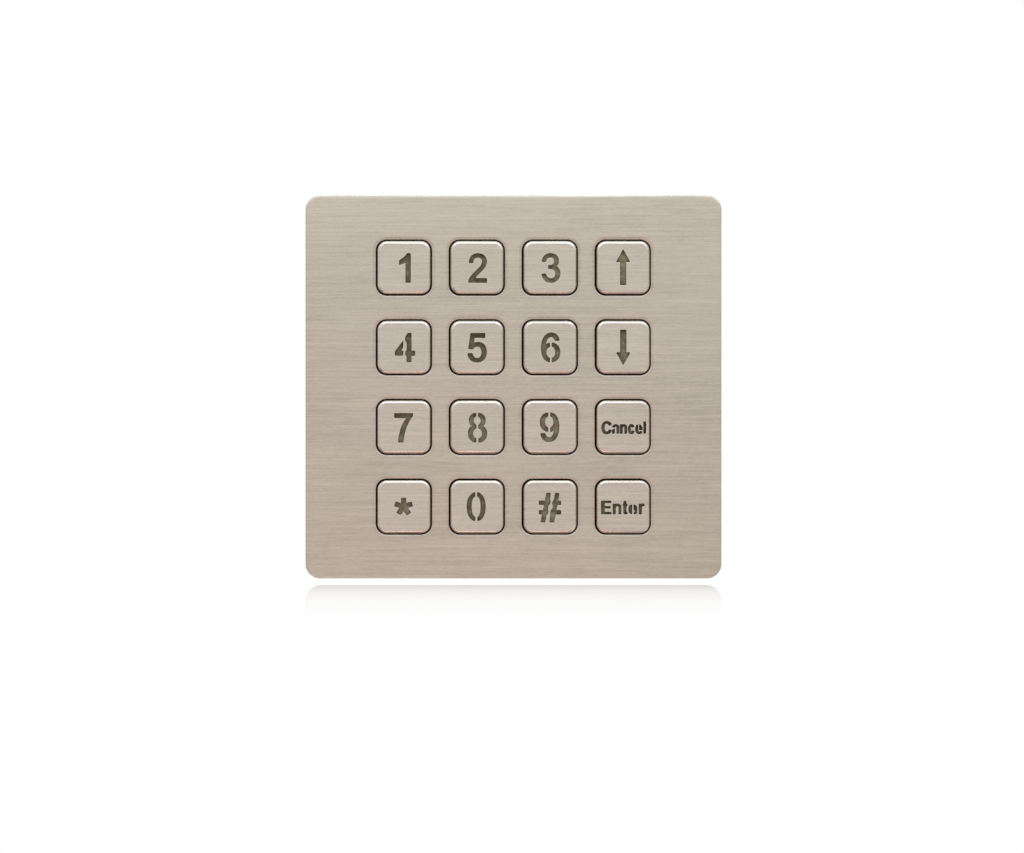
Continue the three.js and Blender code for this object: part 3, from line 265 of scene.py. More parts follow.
# ---- materials ----
class Nodes:
    def __init__(self, name):
        self.m = bpy.data.materials.new(name)
        self.m.use_nodes = True
        self.t = self.m.node_tree
        self.t.nodes.clear()
        self.out = self.t.nodes.new("ShaderNodeOutputMaterial")
        self.bsdf = self.t.nodes.new("ShaderNodeBsdfPrincipled")
        self.t.links.new(self.bsdf.outputs[0], self.out.inputs[0])

    def link(self, a, b):
        self.t.links.new(a, b)

    def node(self, kind, **settings):
        n = self.t.nodes.new(kind)
        for k, v in settings.items():
            setattr(n, k, v)
        return n

    def put(self, **values):
        for k, v in values.items():
            self.bsdf.inputs[k.replace("_", " ")].default_value = v

    def place(self, scale, seeded=True):
        """Object coordinates times scale, in repeats per metre, moved by the piece's own seed."""
        co = self.node("ShaderNodeTexCoord").outputs["Object"]
        mp = self.node("ShaderNodeMapping")
        mp.inputs["Scale"].default_value = scale
        if seeded:
            at = self.node("ShaderNodeAttribute", attribute_name="seed", attribute_type="GEOMETRY")
            add = self.node("ShaderNodeVectorMath", operation="ADD")
            self.link(co, add.inputs[0])
            self.link(at.outputs["Fac"], add.inputs[1])
            co = add.outputs[0]
        self.link(co, mp.inputs["Vector"])
        return mp.outputs[0]

    def noise(self, scale, detail=2.0, rough=0.5, seeded=True, distortion=0.0):
        n = self.node("ShaderNodeTexNoise")
        n.inputs["Scale"].default_value = 1.0
        n.inputs["Detail"].default_value = detail
        n.inputs["Roughness"].default_value = rough
        n.inputs["Distortion"].default_value = distortion
        self.link(self.place(scale, seeded), n.inputs["Vector"])
        return n.outputs["Fac"]

    def math(self, operation, a, b=None, c=None, clamp=False):
        n = self.node("ShaderNodeMath", operation=operation, use_clamp=clamp)
        for i, x in enumerate((a, b, c)):
            if x is None:
                continue
            if isinstance(x, (int, float)):
                n.inputs[i].default_value = x
            else:
                self.link(x, n.inputs[i])
        return n.outputs[0]

    def remap(self, x, lo, hi, to_lo, to_hi):
        n = self.node("ShaderNodeMapRange")
        self.link(x, n.inputs["Value"])
        for k, v in zip(("From Min", "From Max", "To Min", "To Max"), (lo, hi, to_lo, to_hi)):
            n.inputs[k].default_value = v
        return n.outputs[0]

    def ramp(self, x, *stops):
        n = self.node("ShaderNodeValToRGB")
        while len(n.color_ramp.elements) < len(stops):
            n.color_ramp.elements.new(0.5)
        for e, (p, c) in zip(n.color_ramp.elements, stops):
            e.position, e.color = p, (*c, 1)
        self.link(x, n.inputs[0])
        return n.outputs[0]

    def bump(self, height, distance, strength=1.0):
        n = self.node("ShaderNodeBump")
        n.inputs["Distance"].default_value = distance
        n.inputs["Strength"].default_value = strength
        self.link(height, n.inputs["Height"])
        self.link(n.outputs[0], self.bsdf.inputs["Normal"])
        return n


def steel(name, dark, light, rough=(0.30, 0.44), grain=1.0, aniso=0.6):
    """Satin steel brushed along X."""
    n = Nodes(name)
    streak = n.noise((42, 42, 2300), 2.0, 0.5)
    short = n.noise((230, 230, 2300), 2.0, 0.5)
    fine = n.noise((900, 900, 3200), 2.0, 0.6)
    soft = n.noise((75, 75, 330), 2.0, 0.5)
    cloud = n.noise((34, 34, 55), 2.0, 0.5)
    scratch = n.remap(n.noise((24, 24, 3600), 1.0, 0.5), 0.60, 0.70, 0.0, 0.09)
    mix = n.math("ADD", n.math("MULTIPLY", streak, 0.30), n.math("MULTIPLY", short, 0.20))
    mix = n.math("ADD", mix, n.math("MULTIPLY", fine, 0.27))
    mix = n.math("ADD", mix, n.math("MULTIPLY", soft, 0.11))
    mix = n.math("ADD", mix, scratch)
    mix = n.math("ADD", mix, n.math("MULTIPLY", cloud, 0.12))
    n.link(n.ramp(mix, (0.38, dark), (0.62, light)), n.bsdf.inputs["Base Color"])
    n.link(n.remap(mix, 0.38, 0.62, rough[1], rough[0]), n.bsdf.inputs["Roughness"])
    n.put(Metallic=1.0, Anisotropic=aniso)
    tangent = n.node("ShaderNodeTangent", direction_type="RADIAL", axis="X")
    n.link(tangent.outputs[0], n.bsdf.inputs["Tangent"])
    lines = n.math("ADD", n.math("MULTIPLY", streak, 0.6), n.math("MULTIPLY", fine, 0.4))
    n.bump(lines, 0.00003 * grain, 0.5)
    return n.m


def plain(name, dark, light, rough, grain=(900, 900, 900), bump=0.00002, metallic=0.0, detail=3.0, coat=0.0, sheen=0.0):
    """Moulded, plated or turned surface with its own fine grain."""
    n = Nodes(name)
    a = n.noise(grain, detail, 0.6)
    b = n.noise(tuple(g * 0.07 for g in grain), 2.0, 0.5)
    mix = n.math("ADD", n.math("MULTIPLY", a, 0.6), n.math("MULTIPLY", b, 0.4))
    n.link(n.ramp(mix, (0.35, dark), (0.65, light)), n.bsdf.inputs["Base Color"])
    n.link(n.remap(mix, 0.35, 0.65, rough[0], rough[1]), n.bsdf.inputs["Roughness"])
    n.put(Metallic=metallic, Coat_Weight=coat, Sheen_Weight=sheen)
    n.bump(a, bump, 0.8)
    return n.m


PLATE_STEEL = steel("plate_brushed_steel", (0.4346, 0.3864, 0.3233), (0.6215, 0.5568, 0.4756))
# Plate steel colours made about a tenth lighter for the opening lips: a painted highlight, on a smoother, less brushed
# finish
LIP_STEEL_PAINTED_HIGHLIGHT = steel("smooth_lip_steel_painted_highlight", (0.4817, 0.4187, 0.3604), (0.6889, 0.6032, 0.5300), rough=(0.14, 0.22), grain=0.6, aniso=0.3)
CAP_STEEL = steel("cap_brushed_steel", (0.5450, 0.4878, 0.4321), (0.7406, 0.6671, 0.5979), rough=(0.20, 0.31), grain=0.8, aniso=0.4)
# Near-black steel colour painted on the opening walls, the cap sides and hollows and the legend cut walls: painted
# shade in the gaps and recesses, on a rougher finish
PAINTED_SHADE_STEEL = plain("painted_shade_dark_steel", (0.080, 0.053, 0.041), (0.135, 0.093, 0.074), (0.5, 0.65), (1200, 1200, 1200), 0.00001, 1.0)
SHEARED = plain("sheared_edge", (0.46, 0.44, 0.40), (0.66, 0.635, 0.59), (0.26, 0.42), (1700, 90, 1700), 0.000012, 1.0)
ZINC = plain("zinc_plate", (0.34, 0.35, 0.37), (0.52, 0.53, 0.55), (0.22, 0.36), (1500, 1500, 1500), 0.000008, 1.0)
BRASS = plain("turned_brass", (0.58, 0.42, 0.18), (0.72, 0.55, 0.27), (0.22, 0.34), (400, 4000, 400), 0.000008, 1.0)
GOLD = plain("pin_gold", (0.75, 0.53, 0.2), (0.86, 0.64, 0.3), (0.2, 0.3), (1500, 1500, 1500), 0.000004, 1.0)
BLACK = plain("moulded_black", (0.011, 0.011, 0.012), (0.024, 0.024, 0.026), (0.42, 0.60), (1000, 1000, 1000), 0.00013, detail=2.0)
CHIP = plain("chip_epoxy", (0.012, 0.012, 0.013), (0.02, 0.02, 0.021), (0.5, 0.64), (3000, 3000, 3000), 0.00001)
FOAM = plain("closed_cell_foam", (0.006, 0.006, 0.006), (0.028, 0.028, 0.028), (0.8, 0.95), (1700, 1700, 1700), 0.00012, detail=4.0)
SILICONE = plain("keymat_silicone", (0.55, 0.53, 0.48), (0.66, 0.64, 0.59), (0.5, 0.62), (700, 700, 700), 0.00002)
SILICONE.node_tree.nodes["Principled BSDF"].inputs["Subsurface Weight"].default_value = 0.25
SILICONE.node_tree.nodes["Principled BSDF"].inputs["Subsurface Radius"].default_value = (0.002, 0.0017, 0.0014)


def resin(name, tone):
    """Smoky light-guide resin, a little different in each shot of the mould."""
    n = Nodes(name)
    a = n.noise((620, 620, 620), 3.0, 0.55)
    b = n.noise((2400, 2400, 2400), 2.0, 0.5)
    mix = n.math("ADD", n.math("MULTIPLY", a, 0.8), n.math("MULTIPLY", b, 0.2))
    shades = ((0.34, (0.078, 0.057, 0.037)), (0.46, (0.142, 0.112, 0.071)), (0.54, (0.158, 0.136, 0.091)), (0.66, (0.235, 0.202, 0.144)))
    n.link(n.ramp(mix, *((p, tuple(c * tone for c in shade)) for p, shade in shades)), n.bsdf.inputs["Base Color"])
    n.link(n.remap(mix, 0.3, 0.7, 0.42, 0.58), n.bsdf.inputs["Roughness"])
    n.put(IOR=1.35)
    n.bump(b, 0.00002, 0.6)
    return n.m


RESINS = (resin("smoky_resin_dark", 0.94), resin("smoky_resin", 1.12), resin("smoky_resin_pale", 1.42))
RESIN_OF = {"1": 0, "4": 0, "5": 0, "cancel": 0, "3": 2, "up": 2, "8": 2, "9": 2, "star": 2, "hash": 2}


def board():
    """Solder mask over copper tracks. What stands above the mask on the key side is a lamp."""
    n = Nodes("board_laminate")
    co = n.node("ShaderNodeTexCoord").outputs["Object"]
    brick = n.node("ShaderNodeTexBrick", offset=0.5)
    mp = n.node("ShaderNodeMapping")
    mp.inputs["Scale"].default_value = (160, 160, 160)
    mp.inputs["Rotation"].default_value = (math.pi / 2, 0, 0)
    n.link(co, mp.inputs["Vector"])
    n.link(mp.outputs[0], brick.inputs["Vector"])
    brick.inputs["Color1"].default_value = (0.012, 0.085, 0.032, 1)
    brick.inputs["Color2"].default_value = (0.016, 0.105, 0.042, 1)
    brick.inputs["Mortar"].default_value = (0.035, 0.19, 0.075, 1)
    brick.inputs["Scale"].default_value = 2.2
    brick.inputs["Mortar Size"].default_value = 0.035
    sep = n.node("ShaderNodeSeparateXYZ")
    n.link(co, sep.inputs[0])
    lamp = n.math("LESS_THAN", sep.outputs["Y"], 0.00668)
    mix = n.node("ShaderNodeMix", data_type="RGBA")
    n.link(lamp, mix.inputs["Factor"])
    n.link(brick.outputs["Color"], mix.inputs["A"])
    mix.inputs["B"].default_value = (0.75, 0.7, 0.45, 1)
    n.link(mix.outputs["Result"], n.bsdf.inputs["Base Color"])
    grain = n.noise((2200, 2200, 2200), 2.0, 0.5, seeded=False)
    n.link(n.remap(grain, 0.3, 0.7, 0.26, 0.4), n.bsdf.inputs["Roughness"])
    n.bump(brick.outputs["Fac"], 0.00003, 0.5)
    return n.m


BOARD = board()

# ---- front plate ----
def key_places():
    for r, row in enumerate(KEYS):
        for c, name in enumerate(row):
            yield name, (c - 1.5) * PITCH_X, (1.5 - r) * PITCH_Z


def round_off(w, h, r, n, e, y_face, y_side, steps=5, x=0.0, z=0.0, hole=False, deep=None):
    """Outline and depth pairs of a rounded rim, from the face at y_face to the side: e across the face, deep down the side."""
    out, way, deep = [], 1 if y_side > y_face else -1, e if deep is None else deep
    for k in range(steps + 1):
        a = math.pi / 2 * k / steps
        i = e * (1 - math.sin(a))
        d = y_face + way * deep * (1 - math.cos(a))
        i = -i if hole else i
        out.append((rrect(w - 2 * i, h - 2 * i, r - i, n, x, z), d))
    return out


s = Shape()
rim = [*round_off(PLATE_W, PLATE_H, PLATE_R, 14, 1.1, -PLATE_T, 0, 9, deep=0.12), *reversed(round_off(PLATE_W, PLATE_H, PLATE_R, 14, 0.15, 0, -PLATE_T, 3))]
front, back = s.walls(rim, lambda y0, y1: 3 if y1 > -2.3 else 0)
fronts, backs = [], []
for _, x, z in key_places():
    x, z = x + HOLE_SHIFT, z + HOLE_SHIFT
    # The lip rounding takes the lighter lip steel: a painted highlight
    lip = round_off(HOLE, HOLE, HOLE_R, 10, 0.9, -PLATE_T, 0, 8, x, z, True, 0.22)
    # Behind the lip the opening's wall takes the near-black steel: painted shade in the gap round each key
    a, b = s.walls([*lip, (rrect(HOLE, HOLE, HOLE_R, 10, x, z), 0.0)], lambda y0, y1: 1 if y1 > -2.0 else 2)
    fronts.append(a)
    backs.append(b)
posts = [(-POST_X, POST_Z), (POST_X, POST_Z), (POST_X, -POST_Z), (-POST_X, -POST_Z)]
studs = [(-STUD_X, STUD_Z), (STUD_X, STUD_Z), (STUD_X, -STUD_Z), (-STUD_X, -STUD_Z)]
for places, r in ((posts, 1.72), (studs, 2.12)):
    for x, z in places:
        a, b = s.walls([(circle(r, 24, x, z), 0.0), (circle(r, 24, x, z), -1.6)])
        backs.append(a)
        s.flat(b)
s.flat(front, *fronts)
s.flat(back, *backs)
plate = finish(s.build("plate_face", seed=0.37), (PLATE_STEEL, PAINTED_SHADE_STEEL, LIP_STEEL_PAINTED_HIGHLIGHT, SHEARED), "plate_steel", BODY, "front_plate")

# ---- keys ----
for index, (name, x, z) in enumerate(key_places()):
    z -= CAP_SAG
    s = Shape()
    N = 10
    pairs = round_off(CAP, CAP, CAP_R, N, CAP_EDGE, CAP_FRONT, 0, 12, deep=CAP_EDGE_D)
    support = (rrect(CAP - 2 * CAP_EDGE - 0.5, CAP - 2 * CAP_EDGE - 0.5, CAP_R - CAP_EDGE - 0.1, N), CAP_FRONT)
    side = [(rrect(CAP, CAP, CAP_R, N), -0.25)]
    foot = [(rrect(CAP + 2 * i, CAP + 2 * i, CAP_R + i, N), y) for i, y in ((0.06, -0.06), (0.2, 0.06), (0.35, 0.1))]
    skirt = [(rrect(FLANGE - 0.2, FLANGE - 0.2, FLANGE_R - 0.1, N), 0.1), (rrect(FLANGE, FLANGE, FLANGE_R, N), 0.2), (rrect(FLANGE, FLANGE, FLANGE_R, N), 1.0), (rrect(FLANGE - 0.2, FLANGE - 0.2, FLANGE_R - 0.1, N), 1.1)]
    inside = CAP - 2 * CAP_WALL
    hollow = [(rrect(inside + 0.2, inside + 0.2, CAP_R - CAP_WALL + 0.1, N), 1.1), (rrect(inside, inside, CAP_R - CAP_WALL, N), 1.0), (rrect(inside, inside, CAP_R - CAP_WALL, N), CAP_FRONT + CAP_TOP + 0.25), (rrect(inside - 0.3, inside - 0.3, CAP_R - CAP_WALL - 0.15, N), CAP_FRONT + CAP_TOP)]
    # From the end of the rounding back, the cap's side, flange and hollow take the near-black steel, as does its back
    # face below: painted shade
    top, under = s.walls([support, *pairs, *side, *foot, *skirt, *hollow], lambda y0, y1: int(y1 > -2.8))
    tops, unders = [], []
    for spec in LEGENDS[name]:
        loop = outline(spec)
        c = 0.07
        edge = [(grow(loop, c * (1 - math.sin(a))), CAP_FRONT + c * (1 - math.cos(a))) for a in (0, math.pi / 6, math.pi / 3, math.pi / 2)]
        # The legend cut walls take the near-black steel: painted shade in the recess
        a, b = s.walls([*edge, (loop, CAP_FRONT + CAP_TOP)], lambda y0, y1: int(y1 > -3.5))
        tops.append(a)
        unders.append(b)
    s.flat(top, *tops)
    s.flat(under, *unders, tag=1)
    finish(s.build("cap_" + name, x, z, seed=1.7 + 0.613 * index), (CAP_STEEL, PAINTED_SHADE_STEEL), "cap_steel", "key_" + name, "key_cap_" + name)

    s = Shape()
    y0, back_y = CAP_FRONT + CAP_TOP + 0.05, 1.2
    block = round_off(GUIDE, GUIDE, GUIDE_R, N, 0.2, y0, 0, 3)
    stem = [(rrect(GUIDE, GUIDE, GUIDE_R, N), back_y - 0.1), (rrect(GUIDE + 0.2, GUIDE + 0.2, GUIDE_R + 0.1, N), back_y)]
    wing = [(rrect(15.3, 15.3, 2.1, N), back_y), (rrect(15.5, 15.5, 2.2, N), back_y + 0.1), (rrect(15.5, 15.5, 2.2, N), back_y + 0.7), (rrect(15.3, 15.3, 2.1, N), back_y + 0.8)]
    a, b = s.walls([*block, *stem, *wing])
    c, d = s.walls([(circle(2.62, 32), back_y + 0.8), (circle(2.5, 32), back_y + 0.92), (circle(2.5, 32), 2.5), (circle(2.4, 32), 2.6)])
    s.flat(a)
    s.flat(b, c)
    s.flat(d)
    finish(s.build("guide_" + name, x, z, seed=9.1 + 0.477 * index), RESINS[RESIN_OF.get(name, 1)], "guide_resin", "key_" + name, "light_guide_" + name)

# ---- silicone keymat: the sheet, and a separate dome piece under each key ----
DOME_R, FOOT = 5.2, 6.6
s = Shape()
front, back = s.walls([(rrect(80.2, 85.8, 1.9, 8), 5.6), (rrect(80.4, 86, 2, 8), 5.7), (rrect(80.4, 86, 2, 8), 6.5), (rrect(80.2, 85.8, 1.9, 8), FOOT)])
fronts, backs = [], []
for _, x, z in key_places():
    for loop in (circle(DOME_R + 0.02, 40, x, z), rrect(3, 2.4, 0.3, 4, x + 5.6, z + 5.6)):
        a, b = s.walls([(loop, 5.6), (loop, FOOT)])
        fronts.append(a)
        backs.append(b)
s.flat(front, *fronts)
s.flat(back, *backs)
finish(s.build("keymat_sheet", seed=4.2), SILICONE, "keymat_silicone", BODY, "silicone_keymat")
for index, (name, x, z) in enumerate(key_places()):
    s = Shape()
    outer = [(1.6, 2.72), (2.7, 2.7), (3.0, 2.78), (3.12, 3.0), (3.3, 3.4), (3.9, 4.3), (4.6, 5.2), (4.9, 5.55), (5.2, 5.7), (5.2, FOOT)]
    inner = [(4.35, FOOT), (4.2, 6.1), (3.9, 5.3), (3.2, 4.3), (2.7, 3.75), (2.4, 3.6), (1.75, 3.6), (1.6, 3.75), (1.6, 5.85), (1.5, 5.95)]
    a, b = s.walls([(circle(r, 40), y) for r, y in [*outer, *inner]])
    s.flat(a)
    s.flat(b)
    dome = s.build("keymat_dome_" + name, x, z, seed=6.0 + 0.3 * index)
    finish(dome, SILICONE, "keymat_silicone", BODY)
    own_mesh(dome)

# ---- rear cover ----
s = Shape()
W, H, R, N = COVER_W, COVER_H, COVER_R, 12
shell = [(rrect(W - 2 * COVER_WALL, H - 2 * COVER_WALL, R - COVER_WALL, N), 0.1), (rrect(W, H, R, N), 0.1)]
shell = [(rrect(W - 2.2, H - 2.2, R - 1.1, N), 0.1), (rrect(W - 0.3, H - 0.3, R - 0.15, N), 0.1), (rrect(W, H, R, N), 0.25)]
shell += list(reversed(round_off(W, H, R, N, 1.1, COVER_D, 0, 8)))
shell += [(rrect(W - 3.2, H - 3.2, R - 1.5, N), COVER_D)]
inside = [(rrect(W - 4, H - 4, R - 1.9, N), COVER_D - COVER_WALL), (rrect(W - 2 * COVER_WALL, H - 2 * COVER_WALL, R - COVER_WALL, N), COVER_D - COVER_WALL - 0.7), (rrect(W - 2 * COVER_WALL, H - 2 * COVER_WALL, R - COVER_WALL, N), 0.2), (rrect(W - 2.2, H - 2.2, R - 1.1, N), 0.1)]
a, b = s.walls(shell)
c, d = s.walls(inside)
s.skin([d, a])
outs, ins = [], []
for x, z in posts:
    lip = [(circle(2.0, 32, x, z), COVER_D), (circle(1.8, 32, x, z), COVER_D - 0.2), (circle(1.7, 32, x, z), COVER_D - 0.4), (circle(1.7, 32, x, z), COVER_D - COVER_WALL)]
    p, q = s.walls(lip)
    outs.append(p)
    ins.append(q)
lip = round_off(WINDOW_W, WINDOW_H, 1.0, 6, 0.3, COVER_D, 0, 4, 0, HEADER_Z, True)
p, q = s.walls([*lip, (rrect(WINDOW_W, WINDOW_H, 1.0, 6, 0, HEADER_Z), COVER_D - COVER_WALL)])
outs.append(p)
ins.append(q)
s.flat(b, *outs)
s.flat(c, *ins)
finish(s.build("cover_shell", seed=2.2), BLACK, "black_plastic", BODY, "rear_cover")

# ---- panel seal ----
s = Shape()
N = 10
a, b = s.walls([(rrect(112.2, 103.2, 3.1, N), 0.1), (rrect(112.4, 103.4, 3.2, N), 0.2), (rrect(112.4, 103.4, 3.2, N), 1.3), (rrect(111.9, 102.9, 2.95, N), 1.5)])
c, d = s.walls([(rrect(99, 92, 4.4, N), 0.1), (rrect(99, 92, 4.4, N), 1.35), (rrect(99.3, 92.3, 4.55, N), 1.5)])
fronts, backs = [c], [d]
for x, z in studs:
    p, q = s.walls([(circle(2.25, 28, x, z), 0.1), (circle(2.25, 28, x, z), 1.5)])
    fronts.append(p)
    backs.append(q)
s.flat(a, *fronts)
s.flat(b, *backs)
finish(s.build("seal_ring", seed=3.1), FOAM, "seal_rubber", BODY, "panel_seal")


# ---- threaded studs and cover screws ----
def thread(name, x, z, r, pitch, y_plain0, y0, y1, y_end, depth, cols=28, per_turn=12):
    """A plain shank from y_plain0, a right-hand helical thread from y0 to y1, and a chamfered end at y_end."""
    s = Shape()
    rings = [s.ring(circle(r - 0.1, cols), y_plain0), s.ring(circle(r, cols), y_plain0 + 0.1), s.ring(circle(r, cols), y0 - 0.15)]
    rows = int((y1 - y0) / pitch * per_turn)
    for k in range(rows + 1):
        y = y0 + (y1 - y0) * k / rows
        fade = min(1.0, (y - y0) / pitch, max(0.0, (y_end - y)) / (1.1 * pitch))
        loop = []
        for i in range(cols):
            a = 2 * math.pi * i / cols
            phase = ((y / pitch) + i / cols) % 1.0
            tooth = abs(phase * 2 - 1)
            tooth = min(1.0, max(0.0, (tooth - 0.1) / 0.8))
            rr = r - depth * (1 - tooth) if fade >= 1 else r - depth + depth * tooth * fade if y > (y0 + y1) / 2 else r - depth * (1 - tooth) * fade
            loop.append((rr * math.cos(a), rr * math.sin(a)))
        rings.append(s.ring(loop, y))
    rings.append(s.ring(circle(max(0.3, r - depth - 0.25), cols), y_end))
    s.skin(rings)
    s.flat(rings[0])
    s.flat(rings[-1])
    return s


for k, (x, z) in enumerate(studs):
    s = thread("stud", x, z, 2.0, 0.7, -1.5, 1.2, 19.4, 20.0, 0.4)
    finish(s.build(f"stud_{k + 1}", x, z, sharp=50, seed=5 + k), ZINC, "zinc_steel", BODY, f"mounting_stud_{k + 1}")


def cross(w, l, x=0.0, z=0.0):
    h, g = w / 2, l / 2
    pts = [(h, h), (h, g), (-h, g), (-h, h), (-g, h), (-g, -h), (-h, -h), (-h, -g), (h, -g), (h, -h), (g, -h), (g, h)]
    return [(x + p[0], z + p[1]) for p in pts]


for k, (x, z) in enumerate(posts):
    s = Shape()
    n = 32
    under = COVER_D + 0.06
    shank = [(circle(0.7, n), 10.4), (circle(1.2, n), 10.9), (circle(1.2, n), COVER_D - 0.2)]
    head = [(circle(1.35, n), under), (circle(2.7, n), under), (circle(2.8, n), under + 0.1), (circle(2.8, n), under + 0.75)]
    for j in range(1, 8):
        t = math.pi / 2 * j / 8
        head.append((circle(1.75 + 1.05 * math.cos(t), n), under + 0.75 + 1.05 * math.sin(t)))
    head.append((circle(1.72, n), COVER_D + 1.88))
    a, b = s.walls([*shank, *head])
    p, q = s.walls([(cross(0.76, 3.0), COVER_D + 1.88), (cross(0.7, 2.9), COVER_D + 1.8), (cross(0.55, 2.0), COVER_D + 0.8)])
    s.flat(a)
    s.flat(b, p)
    s.flat(q)
    finish(s.build(f"screw_{k + 1}", x, z, sharp=40, seed=8 + k), ZINC, "zinc_steel", BODY, f"cover_screw_{k + 1}")

# ---- ribbon header pins ----
s = Shape()
for col in range(8):
    for row in range(2):
        x, z = (col - 3.5) * 2.0, HEADER_Z + (row - 0.5) * 2.0
        a, b = s.walls([(rrect(0.5, 0.5, 0.03, 1, x, z), BOARD_BACK + 2.5), (rrect(0.5, 0.5, 0.03, 1, x, z), 15.2), (rrect(0.22, 0.22, 0.03, 1, x, z), 15.6)])
        s.flat(a)
        s.flat(b)
finish(s.build("header_pins", seed=7.7), GOLD, "spacer_brass", BODY)

# ---- the frame's own pieces that keep their shape ----
def dress(node, material, width):
    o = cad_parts[node]
    while len(o.material_slots) == 0:
        o.data.materials.append(None)
    for m in o.material_slots:
        m.link = "OBJECT"
        m.material = material
    b = o.modifiers.new("edges", "BEVEL")
    b.width = width * MM
    b.segments = 2
    b.limit_method = "ANGLE"
    b.angle_limit = math.radians(40)
    b.harden_normals = False


dress("guide_frame", BLACK, 0.15)
dress("circuit_board", BOARD, 0.05)
dress("controller_chip", CHIP, 0.12)
dress("interface_chip", CHIP, 0.12)
dress("ribbon_header", BLACK, 0.15)
for k in range(1, 5):
    dress(f"board_pillar_{k}", ZINC, 0.15)
    dress(f"cover_spacer_{k}", BRASS, 0.15)

# ---- camera ----
camera = bpy.data.objects.new("camera", bpy.data.cameras.new("camera"))
bpy.context.scene.collection.objects.link(camera)
camera.data.lens, camera.data.sensor_width = 100.0, 36.0
camera.data.clip_start, camera.data.clip_end = 0.01, 50.0
DISTANCE = 0.7795
camera.location = (-0.00041, -0.0025 - DISTANCE, -0.01088)
camera.rotation_euler = (math.pi / 2, 0, 0)
bpy.context.scene.camera = camera
bpy.context.scene.view_settings.view_transform = "Standard"
bpy.context.scene.view_settings.look = "None"

# ---- ground: plain white, with a faint gloss that dies away from the reader ----
FLOOR_Z = -0.0535
mesh = bpy.data.meshes.new("ground")
mesh.from_pydata([(-6, -6, FLOOR_Z), (6, -6, FLOOR_Z), (6, 6, FLOOR_Z), (-6, 6, FLOOR_Z)], [], [(0, 1, 2, 3)])
ground = bpy.data.objects.new("ground", mesh)
bpy.context.scene.collection.objects.link(ground)
n = Nodes("ground_white")
n.t.nodes.remove(n.bsdf)
sep = n.node("ShaderNodeSeparateXYZ")
n.link(n.node("ShaderNodeTexCoord").outputs["Object"], sep.inputs[0])
away = n.math("ADD", n.math("ABSOLUTE", sep.outputs["Y"]), n.math("MAXIMUM", n.math("SUBTRACT", n.math("ABSOLUTE", sep.outputs["X"]), 0.058), 0.0))
fade = n.math("MULTIPLY", n.math("EXPONENT", n.math("MULTIPLY", away, -1 / 0.038)), 0.8)
white, gloss, mix = n.node("ShaderNodeEmission"), n.node("ShaderNodeBsdfGlossy"), n.node("ShaderNodeMixShader")
white.inputs["Color"].default_value = (1, 1, 1, 1)
gloss.inputs["Color"].default_value = (1, 1, 1, 1)
gloss.inputs["Roughness"].default_value = 0.0
n.link(fade, mix.inputs[0])
n.link(white.outputs[0], mix.inputs[1])
n.link(gloss.outputs[0], mix.inputs[2])
n.link(mix.outputs[0], n.out.inputs[0])
mesh.materials.append(n.m)
ground.visible_glossy = False
ground.visible_diffuse = False
ground.visible_transmission = False
ground.visible_shadow = False

# ---- studio: white backdrop for the camera, a soft sky of panels for the object ----
world = bpy.data.worlds.new("studio")
bpy.context.scene.world = world
world.use_nodes = True
t = world.node_tree
t.nodes.clear()
out = t.nodes.new("ShaderNodeOutputWorld")
mixer = t.nodes.new("ShaderNodeMixShader")
seen, lit = t.nodes.new("ShaderNodeBackground"), t.nodes.new("ShaderNodeBackground")
seen.inputs["Color"].default_value = (1, 1, 1, 1)
ray = t.nodes.new("ShaderNodeLightPath")
co = t.nodes.new("ShaderNodeTexCoord")
sp = t.nodes.new("ShaderNodeSeparateXYZ")
t.links.new(co.outputs["Generated"], sp.inputs[0])


def sky(axis, lo, hi, *stops):
    r = t.nodes.new("ShaderNodeMapRange")
    r.inputs["From Min"].default_value, r.inputs["From Max"].default_value = lo, hi
    t.links.new(sp.outputs[axis], r.inputs["Value"])
    c = t.nodes.new("ShaderNodeValToRGB")
    while len(c.color_ramp.elements) < len(stops):
        c.color_ramp.elements.new(0.5)
    for e, (p, v) in zip(c.color_ramp.elements, stops):
        e.position, e.color = p, (*v, 1)
    t.links.new(r.outputs[0], c.inputs[0])
    return c.outputs[0]


upper = sky("Z", -1.0, 1.0, (0.46, (0.76, 0.70, 0.65)), (0.55, (0.76, 0.765, 0.73)), (0.66, (0.94, 0.98, 1.0)), (0.80, (1.17, 1.22, 1.30)), (1.0, (1.1, 1.17, 1.25)))
lower = sky("X", -1.0, 1.0, (0.0, (0.05, 0.03, 0.022)), (0.26, (0.22, 0.155, 0.135)), (0.40, (0.70, 0.525, 0.475)), (0.60, (0.74, 0.59, 0.55)), (0.78, (0.95, 0.94, 0.90)), (1.0, (1.0, 1.0, 0.97)))
nadir = sky("Z", -1.0, -0.75, (0.0, (0.46, 0.42, 0.40)), (1.0, (1.0, 1.0, 1.0)))
down = sky("Z", -0.72, -0.26, (0.0, (1.0, 1.0, 1.0)), (1.0, (0.0, 0.0, 0.0)))
dim, height = t.nodes.new("ShaderNodeMix"), t.nodes.new("ShaderNodeMix")
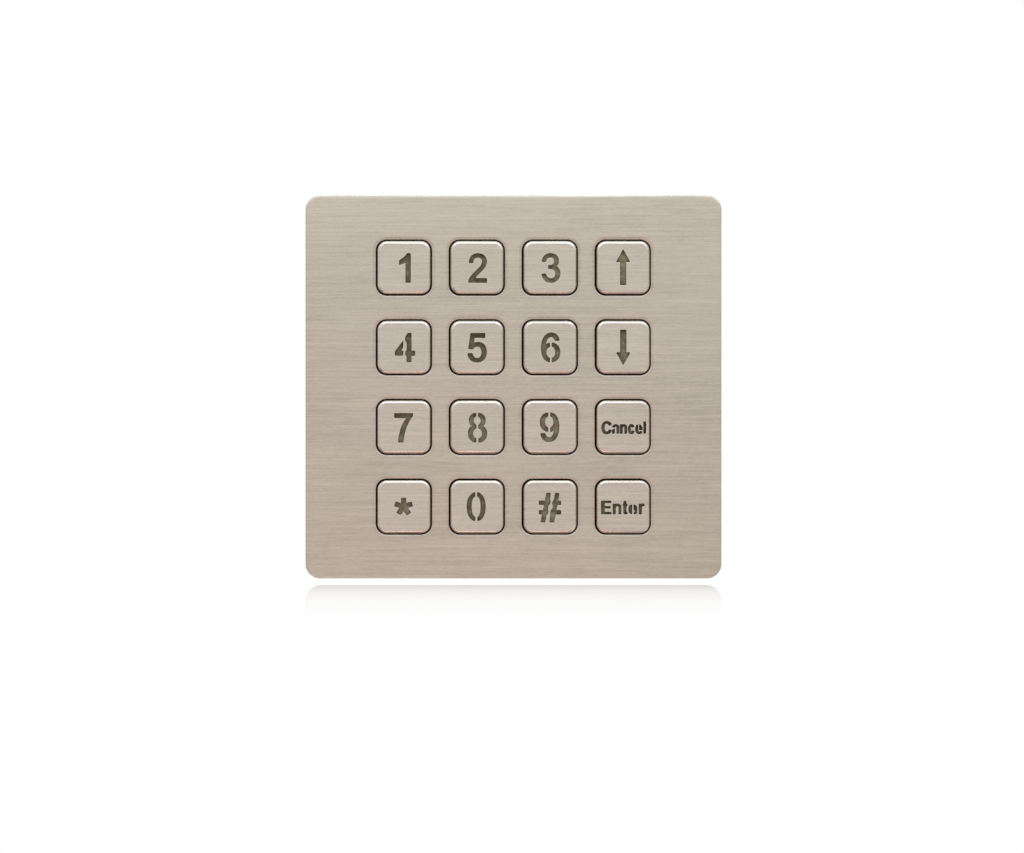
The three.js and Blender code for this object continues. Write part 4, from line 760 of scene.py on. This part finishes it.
for node in (dim, height):
    node.data_type = "RGBA"
dim.blend_type = "MULTIPLY"
dim.inputs["Factor"].default_value = 1.0
t.links.new(lower, dim.inputs["A"])
t.links.new(nadir, dim.inputs["B"])
t.links.new(down, height.inputs["Factor"])
t.links.new(upper, height.inputs["A"])
t.links.new(dim.outputs["Result"], height.inputs["B"])
height = height.outputs["Result"]
behind = sky("Y", -0.15, 0.35, (0.0, (0.0, 0.0, 0.0)), (1.0, (1.0, 1.0, 1.0)))
m = t.nodes.new("ShaderNodeMix")
m.data_type = "RGBA"
t.links.new(behind, m.inputs["Factor"])
t.links.new(height, m.inputs["A"])
rear = sky("Z", -1.0, 1.0, (0.0, (0.20, 0.19, 0.19)), (0.36, (0.38, 0.38, 0.38)), (0.47, (0.56, 0.56, 0.56)), (0.49, (1.0, 1.0, 1.0)), (0.68, (1.0, 1.0, 1.0)), (0.84, (1.35, 1.35, 1.38)), (1.0, (1.05, 1.05, 1.05)))
t.links.new(rear, m.inputs["B"])
t.links.new(m.outputs["Result"], lit.inputs["Color"])
lit.inputs["Strength"].default_value = 1.0
t.links.new(ray.outputs["Is Camera Ray"], mixer.inputs[0])
t.links.new(lit.outputs[0], mixer.inputs[1])
t.links.new(seen.outputs[0], mixer.inputs[2])
t.links.new(mixer.outputs[0], out.inputs[0])


def panel(name, at, aim, size, power, color=(1, 1, 1)):
    light = bpy.data.lights.new(name, "AREA")
    light.shape = "RECTANGLE"
    light.size, light.size_y = size
    light.energy, light.color = power, color
    o = bpy.data.objects.new(name, light)
    bpy.context.scene.collection.objects.link(o)
    o.location = at
    o.rotation_euler = (Vector(aim) - Vector(at)).to_track_quat("-Z", "Y").to_euler()
    o.visible_camera = False
    return o


panel("top_panel", (0.0, -0.17, 0.19), (0, 0, 0.02), (0.34, 0.07), 0.25, (0.90, 1.0, 1.05))
panel("low_panel", (-0.07, -0.17, -0.19), (-0.01, 0, -0.03), (0.22, 0.07), 0.07, (1.0, 0.78, 0.72))
